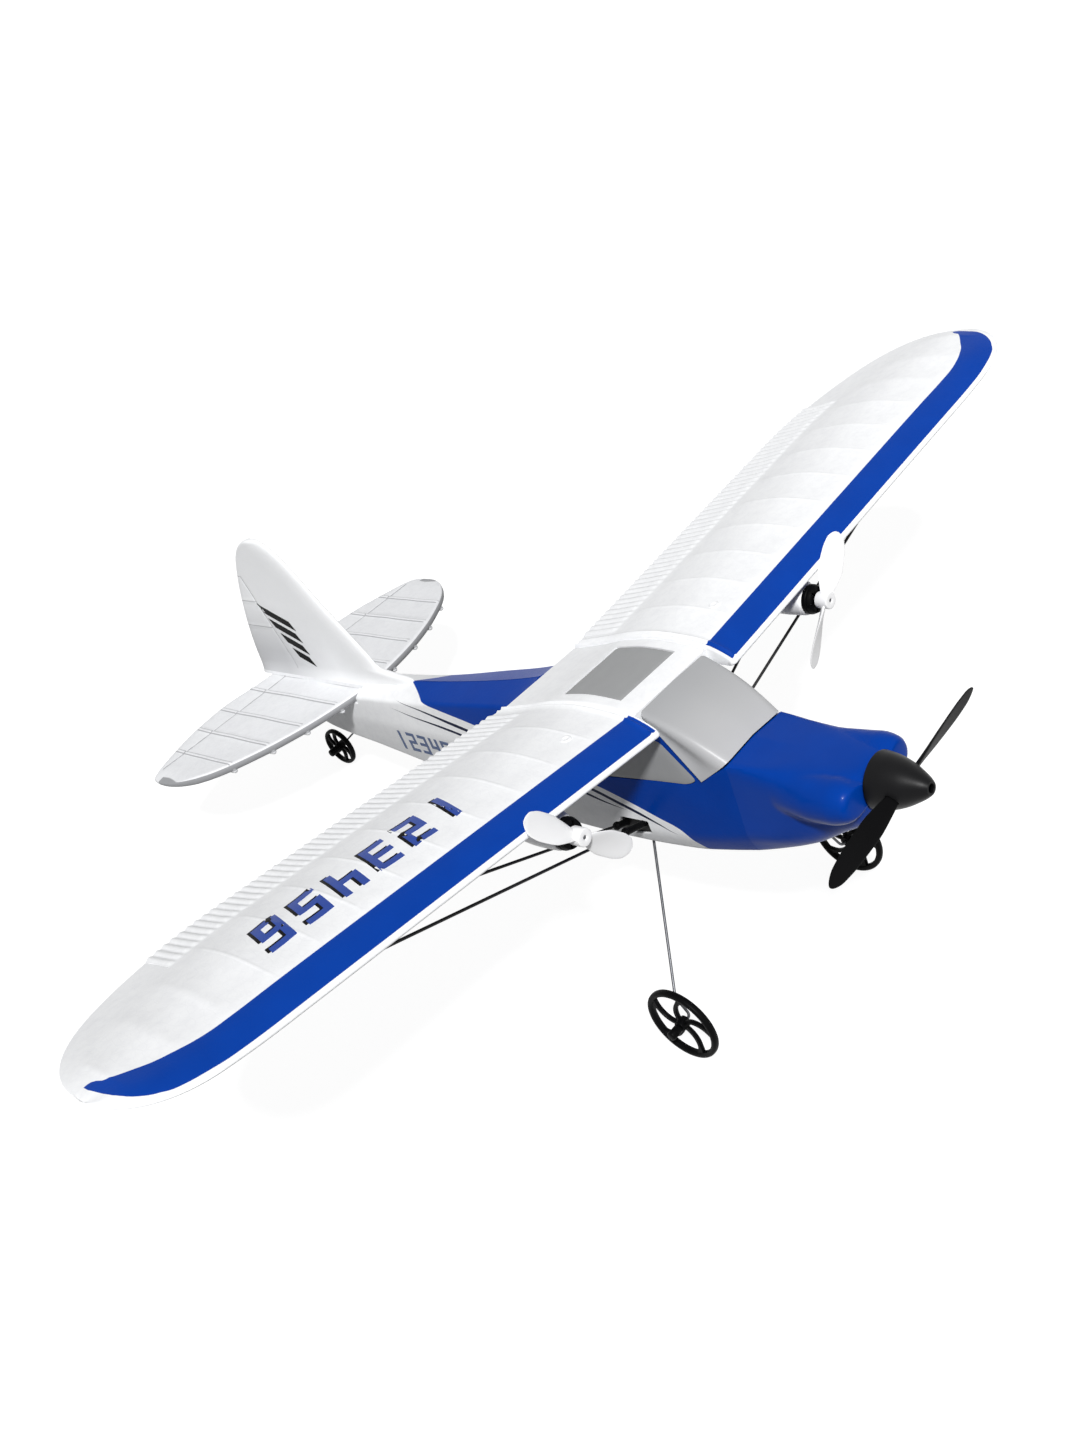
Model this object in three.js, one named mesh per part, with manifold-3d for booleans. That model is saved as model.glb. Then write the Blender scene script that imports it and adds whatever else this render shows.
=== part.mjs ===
// A small high-wing model aeroplane of moulded foam, with two motors under the wing,
// a freely turning nose propeller, wing struts and a tail-wheel undercarriage.
// Lengths are in millimetres. Aircraft axes: X to the left wing, Y aft, Z up, with the
// origin at the top of the windshield. The finished group stands on its three wheels.

import * as THREE from "three";
import { ConvexGeometry } from "three/addons/geometries/ConvexGeometry.js";
import { mergeVertices } from "three/addons/utils/BufferGeometryUtils.js";
import Module from "manifold-3d";

const wasm = await Module();
wasm.setup();

// Clearances
const touchGap = 0.3;
const fitGap = 0.2;
const runningFit = 0.08;
const endFloat = 0.3;
const cutOverrun = 2;
const weldDistance = 1e-4;
const rodSides = 10;
const shaftSides = 12;

// Wing
const halfSpan = 200;
const chord = 67.6;
const leadingEdgeY = -8.8;
const wingBaseZ = -6.1;
const dihedralDegrees = 5.7;
const wingRootX = 17.8;
const rootRimHeight = 0.7;
const rootRimWidth = 1.4;
const tipFrontStart = 174.6;
const tipRearStart = 130.5;
const tipApexShare = 0.325;
const tipExponent = 2.26;
const tipRise = 3.7;
const tipRiseStart = 157;
const tipEndMargin = 0.5;
const wingStationShares = [0.16, 0.4, 0.62, 0.74, 0.82, 0.88, 0.925, 0.96, 0.985];
const airfoilUpperShares = [
  [0, 0], [0.02, 0.022], [0.07, 0.05], [0.13, 0.074], [0.27, 0.096],
  [0.425, 0.104], [0.62, 0.083], [0.775, 0.046], [1, 0],
];
const airfoilLowerShares = [
  [1, -0.018], [0.775, -0.006], [0.62, 0.006], [0.425, 0.015],
  [0.25, 0.012], [0.13, 0.003], [0.05, -0.008], [0.012, -0.008],
];

// Ribbed strip along the wing's trailing edge
const stripInnerX = 23;
const stripOuterX = 157;
const stripFrontShare = 0.775;
const stripLift = 0.15;
const stripRootDepth = 1.2;
const ridgeCount = 48;
const ridgeHeight = 0.6;
const ridgeOverhang = 0.3;

// Wing centre section and skylight
const centerTopDrop = 0.3;
const skylightHalfWidth = 12.9;
const skylightFrontShare = 0.262;
const skylightRearShare = 0.624;
const skylightThickness = 0.8;

// Fuselage
const bodyFrontY = -25;
const bodyLength = 239;
const cabinHalfWidth = 16.2;
const bodyDepth = 53;
const foamWall = 3.2;
const seamGap = 0.15;
const bodyRearY = bodyFrontY + bodyLength;
const solidTailLength = 64;
// Each row: place along the body, ridge height, shoulder width and height,
// lower corner width and height, keel width and height
const bodyShares = [
  [0, -0.283, 0.877, -0.302, 0.963, -0.764, 0.679, -0.887],
  [0.046, -0.16, 0.926, -0.174, 0.981, -0.811, 0.71, -0.917],
  [0.105, -0.019, 0.975, -0.038, 1, -0.849, 0.741, -0.96],
  [0.209, -0.019, 0.981, -0.038, 1, -0.868, 0.741, -0.981],
  [0.293, -0.019, 0.951, -0.038, 0.981, -0.84, 0.71, -0.981],
  [0.364, -0.094, 0.778, -0.149, 0.895, -0.698, 0.611, -1],
  [0.481, -0.183, 0.667, -0.232, 0.765, -0.542, 0.463, -0.955],
  [0.628, -0.262, 0.556, -0.321, 0.636, -0.545, 0.42, -0.845],
  [0.766, -0.317, 0.512, -0.368, 0.512, -0.558, 0.34, -0.766],
  [0.895, -0.387, 0.37, -0.443, 0.37, -0.564, 0.265, -0.719],
  [1, -0.404, 0.204, -0.443, 0.216, -0.517, 0.17, -0.581],
];

// Windshield and side windows
const glazingThickness = 1.2;
const glazingHollowRun = 3.6;
const windshieldTopHalfWidth = 15.7;
const windshieldTopCrown = 0.5;
const pillarTopY = -5;
const pillarTopZ = -7.6;
const pillarFootY = -14.5;
const pillarFootZ = -21.9;
const pillarHalfWidth = 15.9;
const windshieldFootHalfWidth = 14.1;
const windshieldFootShare = 0.2906;
const windshieldFootZ = -windshieldFootShare * bodyDepth;
const pillarWidth = 1.6;
const windowRearY = 30;
const windowRearZ = -25.9;
const windowTopZ = -9.2;

// Cowl
const cowlFrontY = -64.5;
const cowlWall = 1.2;
const cowlMouthRun = 2.4;
const cowlLength = bodyFrontY - cowlFrontY;
// Each row: place forward from the joint, top height, half width, widest height, keel height, squareness
const cowlShares = [
  [0, -0.283, 0.963, -0.585, -0.892, 5],
  [0.253, -0.317, 0.926, -0.566, -0.838, 4],
  [0.506, -0.336, 0.877, -0.528, -0.802, 3.2],
  [0.759, -0.347, 0.796, -0.481, -0.721, 2.8],
  [0.937, -0.357, 0.679, -0.453, -0.674, 2.4],
  [1, -0.377, 0.556, -0.453, -0.613, 2.2],
];
const cowlSides = 20;
const cheekRadius = 6.4;
const cheekLength = 29;
const cheekX = 11;
const cheekFrontY = -65.5;
const cheekHeightShare = 0.453;
const cheekZ = -cheekHeightShare * bodyDepth;
const cheekSegments = 12;
const cheekShares = [
  [0, 1], [0.4, 0.9], [0.72, 0.7], [0.95, 0.45], [1, 0.25], [0.86, 0.09], [0.55, 0.015], [0, 0],
];

// Nose propeller, spinner and shaft
const noseAxisShare = 0.4453;
const noseAxisZ = -noseAxisShare * bodyDepth;
const spinnerBaseY = -66;
const spinnerTipY = -81.8;
const spinnerRadius = 8.4;
const spinnerWall = 1;
const spinnerSides = 24;
const spinnerTipRadius = 1.9;
const spinnerMidRadiusShare = 0.78;
const spinnerMidShare = 0.5;
const nosePropY = -73.3;
const nosePropRadius = 38.8;
const nosePropChord = 6.9;
const nosePropHubRadius = 3.6;
const nosePropHubLength = 5;
const nosePropDegrees = 7;
const noseShaftRadius = 1;
const noseShaftRearY = -56.5;
const noseBearingRadius = 2.6;
const noseFlangeRadius = 3.8;
const noseFlangeThickness = 0.8;
const noseBearingLength = 5;
const noseBearingSides = 16;
const collarRadius = 2.4;
const collarLength = 2.2;
const collarSides = 14;

// Motors and their nacelles
const motorX = 60.3;
const motorAxisZ = -8;
const motorRadius = 4;
const motorLength = 15;
const nacelleFrontY = -5.8;
const nacelleRadius = 5.4;
const nacelleLength = 37;
const motorRearSpace = 2.4;
const motorSides = 16;
const nacelleSides = 16;
// Each row: place along the nacelle, radius, rise of its axis
const nacelleShares = [
  [0, 1, 0], [0.2, 1.04, 0], [0.45, 0.94, 0.06], [0.72, 0.66, 0.36], [1, 0.26, 0.9],
];
const pylonWidth = 5;
const pylonInset = 1.8;
const pylonEndShare = 0.8;
const capLength = 2.9;
const capRadius = 5;
const capFrontRadius = 4.3;
const capWall = 0.9;
const capBoreGap = 0.6;
const ventCount = 6;
const ventWidth = 0.9;
const ventDepth = 1.35;
const motorShaftRadius = 0.5;
const motorShaftInset = 5;
const propHubFrontY = -14;
const propHubRearY = -9.4;
const propHubRadius = 2.7;
const propRadius = 22.2;
const propChord = 9.4;
const propDegrees = 44;
const propSectionPoints = 8;
const propHubSides = 14;
const boreSides = 10;
const propRootThickness = 1.5;
const propTipThickness = 0.6;
// Each row: radius, chord, pitch in degrees
const bladeShares = [
  [0.09, 0.42, 38], [0.25, 0.72, 33], [0.48, 1, 26], [0.72, 0.97, 20], [0.9, 0.72, 17], [1, 0.24, 15],
];

// Strut and undercarriage mount across the belly, seen in a recess of each side
const mountHalfWidth = 9.2;
const mountFaceInset = 0.7;
const recessFrontY = 14.5;
const recessLength = 15.5;
const recessRise = 11;
const recessTopZ = recessRise - bodyDepth;
const mountTopZ = recessTopZ - 2 * touchGap;
const recessDepth = 8;
const recessShares = [[0, 0], [0.76, 0.03], [1, 1], [0.03, 0.65]];
const socketRadius = 0.95;
const socketSides = 8;
const strutRadius = 0.4;
const strutEndGap = 0.9;
const strutFrontRise = 7.4;
const strutRearRise = 4.9;
const strutFrontRoot = new THREE.Vector3(10, 17.4, strutFrontRise - bodyDepth);
const strutRearRoot = new THREE.Vector3(8.5, 25.5, strutRearRise - bodyDepth);
const strutFrontTip = new THREE.Vector3(149.2, 1.4, 9);
const strutRearTip = new THREE.Vector3(140.8, 24.6, 8.6);
const frontSocketLength = 17;
const rearSocketLength = 13;
const anchorLength = 7;
const anchorWidth = 4;
const anchorThickness = 1.2;

// Undercarriage
const wireSides = 8;
const legRadius = 0.4;
const legRise = 8.5;
const legTop = new THREE.Vector3(4.3, 25.3, legRise - bodyDepth);
const legKnee = new THREE.Vector3(42, 1.7, -87.9);
const mainAxle = new THREE.Vector3(42.4, -2.5, -93.5);
const mainWheelX = 46.3;
const mainWheelRadius = 12.95;
const mainWheelWidth = 2.4;
const mainRimThickness = 2;
const mainHubRadius = 1.9;
const mainHubWidth = 3.6;
const mainSpokeCount = 5;
const spokeWidth = 1.2;
const spokeSweepDegrees = 38;
const spokeSteps = 3;
const spokeRootShare = 0.8;
const spokeBendShare = 0.55;
const spokeTipShare = 0.6;
const spokeThicknessShare = 0.6;
const rimFaceShare = 0.6;
const rimShoulderShare = 0.3;
const rimTreadShare = 0.4;
const retainerRadius = 1.5;
const retainerCap = 0.8;
const mainRetainerEndX = 52.5;
const tailWheelRun = 12.6;
const tailWheel = new THREE.Vector3(0, bodyRearY - tailWheelRun, -54.2);
const tailWheelRadius = 8;
const tailWheelWidth = 2;
const tailRimThickness = 1.5;
const tailHubRadius = 1.7;
const tailHubWidth = 3.2;
const tailSpokeCount = 6;
const tailRetainerLength = 3.6;
const tailWireRadius = 0.35;
const tailWireRun = 43;
const tailWireShare = 0.6717;
const tailWireTop = new THREE.Vector3(0, bodyRearY - tailWireRun, -tailWireShare * bodyDepth);
const tailWireOffset = 2.7;
const wheelSegments = 24;

// Tailplane
const tailHalfSpan = 72;
const tailThickness = 3.2;
const tailHeightShare = 0.3868;
const tailMidZ = -tailHeightShare * bodyDepth;
const tailSeatLength = 55.4;
const tailFrontY = bodyRearY - tailSeatLength;
const tailLength = 64.4;
const tailOutlineShares = [
  [0, 0], [0.15, 0.024], [0.34, 0.07], [0.52, 0.14], [0.7, 0.24], [0.86, 0.365],
  [0.955, 0.5], [1, 0.68], [0.985, 0.79], [0.92, 0.835], [0.78, 0.9], [0.6, 0.965],
  [0.36, 0.995], [0.15, 0.96], [0, 0.945],
];
const tailRibXShares = [0.193, 0.397, 0.58, 0.767];
const tailRibFrontShares = [0.085, 0.145, 0.215, 0.315];
const tailRibRearShares = [0.955, 0.975, 0.945, 0.885];
const tailRibWidth = 1.3;
const tailRibHeight = 0.6;

// Fin
const finThickness = 3.2;
const finSeatLength = 84.5;
const finFrontY = bodyRearY - finSeatLength;
const finLength = 97.8;
const finHeight = 60.4;
const finBaseZ = tailMidZ + tailThickness / 2;
const finOutlineShares = [
  [0, 0.083], [0.083, 0.104], [0.176, 0.131], [0.221, 0.229], [0.286, 0.379], [0.369, 0.565],
  [0.441, 0.75], [0.503, 0.884], [0.562, 0.967], [0.625, 1], [0.69, 0.985], [0.768, 0.907],
  [0.84, 0.745], [0.9, 0.56], [0.95, 0.36], [0.985, 0.16], [1, 0],
];
const finTabRun = 15.4;
const finTabLength = 22;
const finTabFrontY = tailFrontY + finTabRun;
const finTabRearY = finTabFrontY + finTabLength;
const finTabDepth = 8;

// Equipment in the cabin
const trayHeightShare = 0.498;
const trayTopZ = -trayHeightShare * bodyDepth;
const trayThickness = 1.2;
const trayHalfWidth = 13.2;
const trayFrontY = -21.6;
const trayRearY = 12;
const trayWall = 1;
const batteryThickness = 8;
const batteryLength = 32;
const batteryFrontY = -20.6;
const batteryGap = 0.4;
const padThickness = 0.8;
const padInset = 2;
const boardLength = 26;
const boardWidth = 18;
const boardThickness = 1;
const boardFrontY = -17;
const socketLength = 5.5;
const socketWidth = 6;
const socketHeight = 4;
const plugLength = 5;
const leadRadius = 0.55;
const leadPitch = 2;
const leadCurveSegments = 4;
const batteryLeadSteps = 14;
const batteryLeadReach = 7;
// Each row: aft of the plug as a share of the reach, below its middle as a share of the leads' pitch
const leadPlugShares = [[0, 0], [0.3, 0.2], [0.8, 2]];
const leadTurnRunShare = 0.7;
const leadTurnRiseShare = 1.5;
const leadCellRunShare = 0.4;
const motorLeadSteps = 30;
const motorLeadRadius = 0.6;
const motorLeadY = 12;
const leadHoleZ = -6.6;
const leadBoardX = 5.4;
const leadBoardY = 3;
const leadBendX = 8.1;
const leadBendY = 9.3;
const leadBendRise = 6.3;
const leadEntryRun = 8.64;
const leadUnderShares = [0, 0.3333, 0.6667, 1];

// Battery hatch in the belly
const hatchHalfWidth = 5.6;
const hatchFrontY = -22;
const hatchRearY = 13;
const hatchThickness = 1.6;
const hingeRadius = 1.2;
const hingeHalfWidth = 3.4;
const hingePinRadius = 0.45;
const hingePinHalfLength = 7.4;
const hingeBarrelSides = 14;
const hatchInnerZ = keelZAt(hatchFrontY) + hatchThickness;
const batteryHeight = trayTopZ - trayThickness - batteryGap - hatchInnerZ - touchGap;

const slope = Math.tan(THREE.MathUtils.degToRad(dihedralDegrees));
const trailingEdgeY = leadingEdgeY + chord;

const finishes = {
  foam: new THREE.MeshStandardMaterial({ color: 0xf0f1f3, roughness: 0.75, metalness: 0 }),
  blue: new THREE.MeshStandardMaterial({ color: 0x1548b0, roughness: 0.3, metalness: 0 }),
  glazing: new THREE.MeshStandardMaterial({ color: 0xa9abae, roughness: 0.35, metalness: 0 }),
  black: new THREE.MeshStandardMaterial({ color: 0x17181a, roughness: 0.45, metalness: 0 }),
  white: new THREE.MeshStandardMaterial({ color: 0xf2f2f0, roughness: 0.4, metalness: 0 }),
  steel: new THREE.MeshStandardMaterial({ color: 0xb9bcc0, roughness: 0.3, metalness: 1 }),
  brass: new THREE.MeshStandardMaterial({ color: 0xc9a34a, roughness: 0.35, metalness: 1 }),
  carbon: new THREE.MeshStandardMaterial({ color: 0x121314, roughness: 0.4, metalness: 0 }),
  cell: new THREE.MeshStandardMaterial({ color: 0xb4b7bc, roughness: 0.35, metalness: 0 }),
  silver: new THREE.MeshStandardMaterial({ color: 0xc6c8cc, roughness: 0.4, metalness: 0.6 }),
  board: new THREE.MeshStandardMaterial({ color: 0x1c5c38, roughness: 0.5, metalness: 0 }),
  red: new THREE.MeshStandardMaterial({ color: 0xb32020, roughness: 0.5, metalness: 0 }),
};

// Solids for joining and cutting
function toSolid(geometry) {
  const bare = geometry.clone();
  bare.deleteAttribute("normal");
  bare.deleteAttribute("uv");
  const merged = mergeVertices(bare, weldDistance);
  const vertProperties = new Float32Array(merged.attributes.position.array);
  const triVerts = new Uint32Array(merged.index.array);
  return new wasm.Manifold(new wasm.Mesh({ numProp: 3, vertProperties, triVerts }));
}

function toGeometry(solid) {
  const mesh = solid.getMesh();
  const geometry = new THREE.BufferGeometry();
  geometry.setAttribute("position", new THREE.BufferAttribute(mesh.vertProperties, 3));
  geometry.setIndex(new THREE.BufferAttribute(mesh.triVerts, 1));
  geometry.computeVertexNormals();
  return geometry;
}

function signedVolume(positions, indices) {
  let total = 0;
  const corners = [new THREE.Vector3(), new THREE.Vector3(), new THREE.Vector3()];
  for (let i = 0; i < indices.length; i += 3) {
    corners.forEach((corner, j) => corner.fromArray(positions, 3 * indices[i + j]));
    total += corners[0].dot(corners[1].cross(corners[2]));
  }
  return total;
}

const flip = (faces) => faces.flatMap((v, i) => (i % 3 === 0 ? [v, faces[i + 2], faces[i + 1]] : []));

// True where the cap's faces run along its edge in the direction of the section's own points
function windsForward(faces, count) {
  for (let i = 0; i < faces.length; i += 1) {
    const next = i % 3 === 2 ? i - 2 : i + 1;
    if (faces[next] === (faces[i] + 1) % count) return true;
    if (faces[i] === (faces[next] + 1) % count) return false;
  }
  return true;
}

// A closed skin through sections with equal numbers of points; flatten gives a section's plane view
function loft(sections, flatten) {
  const count = sections[0].length;
  const last = (sections.length - 1) * count;
  const positions = sections.flat().flatMap((point) => point.toArray());
  const cap = (section, first) => {
    const faces = THREE.ShapeUtils.triangulateShape(section.map(flatten), []).flat();
    return windsForward(faces, count) === first ? flip(faces) : faces;
  };
  const indices = [...cap(sections[0], true), ...cap(sections.at(-1), false).map((i) => last + i)];
  for (let s = 0; s < sections.length - 1; s += 1) {
    for (let i = 0; i < count; i += 1) {
      const a = s * count + i;
      const b = s * count + ((i + 1) % count);
      indices.push(a, b, b + count, a, b + count, a + count);
    }
  }
  const outward = signedVolume(positions, indices) > 0;
  const geometry = new THREE.BufferGeometry();
  geometry.setAttribute("position", new THREE.BufferAttribute(new Float32Array(positions), 3));
  geometry.setIndex(outward ? indices : flip(indices));
  geometry.computeVertexNormals();
  return geometry;
}

const flattenX = (point) => new THREE.Vector2(point.y, point.z);
const flattenY = (point) => new THREE.Vector2(point.x, point.z);
const flattenZ = (point) => new THREE.Vector2(point.x, point.y);

function blockBetween(x0, x1, y0, y1, z0, z1) {
  const geometry = new THREE.BoxGeometry(Math.abs(x1 - x0), Math.abs(y1 - y0), Math.abs(z1 - z0));
  return geometry.translate((x0 + x1) / 2, (y0 + y1) / 2, (z0 + z1) / 2);
}

// A rod from start to end
function rodBetween(start, end, radius, sides = rodSides) {
  const along = end.clone().sub(start);
  const geometry = new THREE.CylinderGeometry(radius, radius, along.length(), sides);
  const upright = new THREE.Vector3(0, 1, 0);
  const turn = new THREE.Quaternion().setFromUnitVectors(upright, along.clone().normalize());
  const middle = start.clone().add(end).multiplyScalar(0.5);
  return geometry.applyQuaternion(turn).translate(middle.x, middle.y, middle.z);
}

// A round tube along a curve
function tubeAlong(curve, radius, steps, sides) {
  const outline = new THREE.Shape();
  outline.absarc(0, 0, radius, 0, 2 * Math.PI, false);
  return new THREE.ExtrudeGeometry(outline, {
    steps,
    extrudePath: curve,
    curveSegments: sides,
    bevelEnabled: false,
  });
}

// A turned piece about an axis parallel to Y; profile rows are [radius, y]
function turnedAlongY(profile, x, z, segments) {
  const points = profile.map(([radius, y]) => new THREE.Vector2(radius, y));
  if (THREE.ShapeUtils.isClockWise(points)) points.reverse();
  return new THREE.LatheGeometry(points, segments).translate(x, 0, z);
}

// Wing shape
function tipRoundShare(x, start) {
  if (x <= start) return 1;
  const share = (x - start) / (halfSpan - start);
  return (1 - share ** tipExponent) ** (1 / tipExponent);
}

function wingEdges(x) {
  const apex = leadingEdgeY + tipApexShare * chord;
  const front = apex + (leadingEdgeY - apex) * tipRoundShare(x, tipFrontStart);
  const rear = apex + (trailingEdgeY - apex) * tipRoundShare(x, tipRearStart);
  return { front, rear };
}

function wingLift(x) {
  const beyond = Math.max(0, x - tipRiseStart) / (halfSpan - tipRiseStart);
  return wingBaseZ + slope * x + tipRise * beyond ** 2;
}

function wingSection(x, raise = 0, drop = 0) {
  const { front, rear } = wingEdges(x);
  const length = rear - front;
  const thin = Math.min(1, Math.sqrt(length / chord));
  const place = (lift) => ([along, up]) => new THREE.Vector3(
    x,
    front + along * length,
    wingLift(x) + up * length * thin + lift,
  );
  return [...airfoilUpperShares.map(place(raise)), ...airfoilLowerShares.map(place(-drop))];
}

function airfoilHeight(rows, share) {
  const ordered = rows.slice().sort((a, b) => a[0] - b[0]);
  const beyond = ordered.findIndex(([along]) => along >= share);
  const next = beyond < 0 ? ordered.length - 1 : Math.max(1, beyond);
  const [x0, z0] = ordered[next - 1];
  const [x1, z1] = ordered[next];
  return z0 + ((share - x0) / (x1 - x0)) * (z1 - z0);
}

function wingTopZ(x, y) {
  return wingLift(x) + airfoilHeight(airfoilUpperShares, (y - leadingEdgeY) / chord) * chord;
}

function wingUnderZ(x, y) {
  return wingLift(x) + airfoilHeight(airfoilLowerShares, (y - leadingEdgeY) / chord) * chord;
}

function wingBlank() {
  const end = halfSpan - tipEndMargin;
  const stations = [0, ...wingStationShares, 1].map((share) => wingRootX + share * (end - wingRootX));
  return toSolid(loft(stations.map((x) => wingSection(x)), flattenX));
}

function ridgeStrip() {
  const pitch = (stripOuterX - stripInnerX) / ridgeCount;
  const front = leadingEdgeY + stripFrontShare * chord;
  const rear = trailingEdgeY + ridgeOverhang;
  const edge = (y) => {
    const points = [];
    for (let i = 0; i <= 2 * ridgeCount; i += 1) {
      const x = stripInnerX + (i * pitch) / 2;
      points.push(new THREE.Vector3(x, y, wingTopZ(x, y) + stripLift + (i % 2) * ridgeHeight));
    }
    points.push(new THREE.Vector3(stripOuterX, y, wingTopZ(stripOuterX, y) - stripRootDepth));
    points.push(new THREE.Vector3(stripInnerX, y, wingTopZ(stripInnerX, y) - stripRootDepth));
    return points;
  };
  const plate = toSolid(loft([edge(front), edge(rear)], flattenY));
  return plate.intersect(planform(ridgeOverhang));
}

// An upright block over the wing's outline, grown at the trailing edge
function planform(grow) {
  const shares = [0, ...wingStationShares];
  const stations = shares.map((share) => wingRootX + share * (halfSpan - wingRootX));
  const outline = [
    ...stations.map((x) => [x, wingEdges(x).front - grow]),
    ...stations.reverse().map((x) => [x, wingEdges(x).rear + grow]),
  ];
  const layer = (z) => outline.map(([x, y]) => new THREE.Vector3(x, y, z));
  return toSolid(loft([layer(-chord), layer(chord)], flattenZ));
}

function rootRim() {
  const rimX = wingRootX + rootRimWidth;
  return toSolid(loft([wingSection(wingRootX, rootRimHeight), wingSection(rimX, rootRimHeight)], flattenX));
}

function wingPanel() {
  return wingBlank().add(rootRim()).add(ridgeStrip()).subtract(toSolid(motorLead(touchGap)));
}

// Wing centre section: the same section without dihedral, from the windshield's top aft
function centerSection() {
  const half = wingRootX - touchGap;
  const rise = slope * half;
  const section = (x) => wingSection(0).map((point) => new THREE.Vector3(x, point.y, point.z + rise));
  const blank = toSolid(loft([section(-half), section(half)], flattenX));
  const trim = toSolid(blockBetween(
    -half - cutOverrun, half + cutOverrun, leadingEdgeY - cutOverrun, touchGap, wingBaseZ - chord, chord,
  ));
  return blank.translate(0, 0, -centerTopDrop).subtract(trim);
}

function skylightSpace(gap, depth) {
  const front = leadingEdgeY + skylightFrontShare * chord - gap;
  const rear = leadingEdgeY + skylightRearShare * chord + gap;
  const half = skylightHalfWidth + gap;
  const column = toSolid(blockBetween(-half, half, front, rear, wingBaseZ, wingBaseZ + chord));
  return column.subtract(centerSection().translate(0, 0, -depth));
}

function skylight() {
  return skylightSpace(0, skylightThickness).intersect(centerSection());
}

function centerWithPocket() {
  return centerSection().subtract(skylightSpace(touchGap, skylightThickness + touchGap));
}

// Fuselage shape
function bodySection(row, inset) {
  const [along, ridge, shoulderX, shoulderZ, creaseX, creaseZ, keelX, keelZ] = row;
  const y = bodyFrontY + along * bodyLength;
  const half = [
    [0, ridge * bodyDepth - inset],
    [shoulderX * cabinHalfWidth - inset, shoulderZ * bodyDepth - inset],
    [creaseX * cabinHalfWidth - inset, creaseZ * bodyDepth],
    [keelX * cabinHalfWidth - inset / 2, keelZ * bodyDepth + inset],
    [0, keelZ * bodyDepth + inset],
  ];
  const right = half.slice(1, -1).reverse();
  return [
    ...half.map(([x, z]) => new THREE.Vector3(x, y, z)),
    ...right.map(([x, z]) => new THREE.Vector3(-x, y, z)),
  ];
}

function bodyBlank(inset, rearY = bodyRearY) {
  const rows = bodyShares.filter(([along]) => bodyFrontY + along * bodyLength <= rearY);
  return toSolid(loft(rows.map((row) => bodySection(row, inset)), flattenY));
}

function keelZAt(y) {
  const share = (y - bodyFrontY) / bodyLength;
  const next = Math.max(1, bodyShares.findIndex(([along]) => along >= share));
  const low = bodyShares[next - 1];
  const high = bodyShares[next];
  const mix = (share - low[0]) / (high[0] - low[0]);
  return bodyDepth * (low[7] + mix * (high[7] - low[7]));
}

function wingSaddle() {
  const half = cabinHalfWidth + cutOverrun;
  const under = airfoilLowerShares.map(([along, up]) => [
    leadingEdgeY + along * chord, wingBaseZ + up * chord,
  ]);
  const lift = slope * (wingRootX - touchGap) - centerTopDrop - touchGap;
  const outline = [
    ...under.filter(([y]) => y > 0).map(([y, z]) => [y, z + lift]),
    [0, wingUnderZ(0, 0) + lift],
    [0, chord],
    [trailingEdgeY, chord],
  ];
  const side = (x) => outline.map(([y, z]) => new THREE.Vector3(x, y, z));
  const foot = wingUnderZ(0, trailingEdgeY) + lift;
  const behind = toSolid(blockBetween(
    -half, half, trailingEdgeY - touchGap, trailingEdgeY + touchGap, foot, chord,
  ));
  return toSolid(loft([side(-half), side(half)], flattenX)).add(behind);
}

// The block under the windshield's outer face, drawn in by inset and grown aft and down by grow
function windshieldBlock(inset, grow, frontGap) {
  const foot = bodyFrontY + frontGap;
  const corners = [];
  [-1, 1].forEach((side) => {
    corners.push(new THREE.Vector3(side * (windshieldTopHalfWidth - inset), grow, -inset));
    const pillarX = side * (pillarHalfWidth - inset);
    const footX = side * (windshieldFootHalfWidth - inset);
    corners.push(new THREE.Vector3(pillarX, pillarTopY + grow, pillarTopZ - grow));
    corners.push(new THREE.Vector3(pillarX, pillarFootY + grow, pillarFootZ - grow));
    corners.push(new THREE.Vector3(footX, foot, windshieldFootZ - inset));
  });
  corners.push(new THREE.Vector3(0, grow, windshieldTopCrown - inset));
  corners.push(new THREE.Vector3(0, foot, windshieldFootZ + windshieldTopCrown - inset));
  return toSolid(new ConvexGeometry(corners));
}

// All that would stand above the windshield's slope
function windshieldSlope() {
  const half = cabinHalfWidth + cutOverrun;
  const foot = windshieldFootZ - glazingThickness;
  const outline = [[bodyFrontY, foot], [0, -glazingThickness], [0, chord], [bodyFrontY, chord]];
  const side = (x) => outline.map(([y, z]) => new THREE.Vector3(x, y, z));
  return toSolid(loft([side(-half), side(half)], flattenX));
}

function windshield() {
  const inner = windshieldBlock(glazingThickness, glazingHollowRun, -cutOverrun);
  return windshieldBlock(0, 0, touchGap).subtract(inner);
}

function windowOutline(gap) {
  return [
    [pillarTopY + pillarWidth - gap, windowTopZ + gap],
    [pillarFootY + pillarWidth - gap, pillarFootZ - gap],
    [windowRearY - pillarWidth + gap, windowRearZ - gap],
    [windowRearY + gap, windowTopZ + gap],
  ];
}

function windowSpace(gap, depth) {
  const outline = windowOutline(gap);
  const side = (x) => outline.map(([y, z]) => new THREE.Vector3(x, y, z));
  const inner = cabinHalfWidth / 2;
  const plate = toSolid(loft([side(inner), side(cabinHalfWidth + cutOverrun)], flattenX));
  return plate.subtract(bodyBlank(depth));
}

function sideWindow() {
  return windowSpace(0, glazingThickness).intersect(bodyBlank(0));
}

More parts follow.
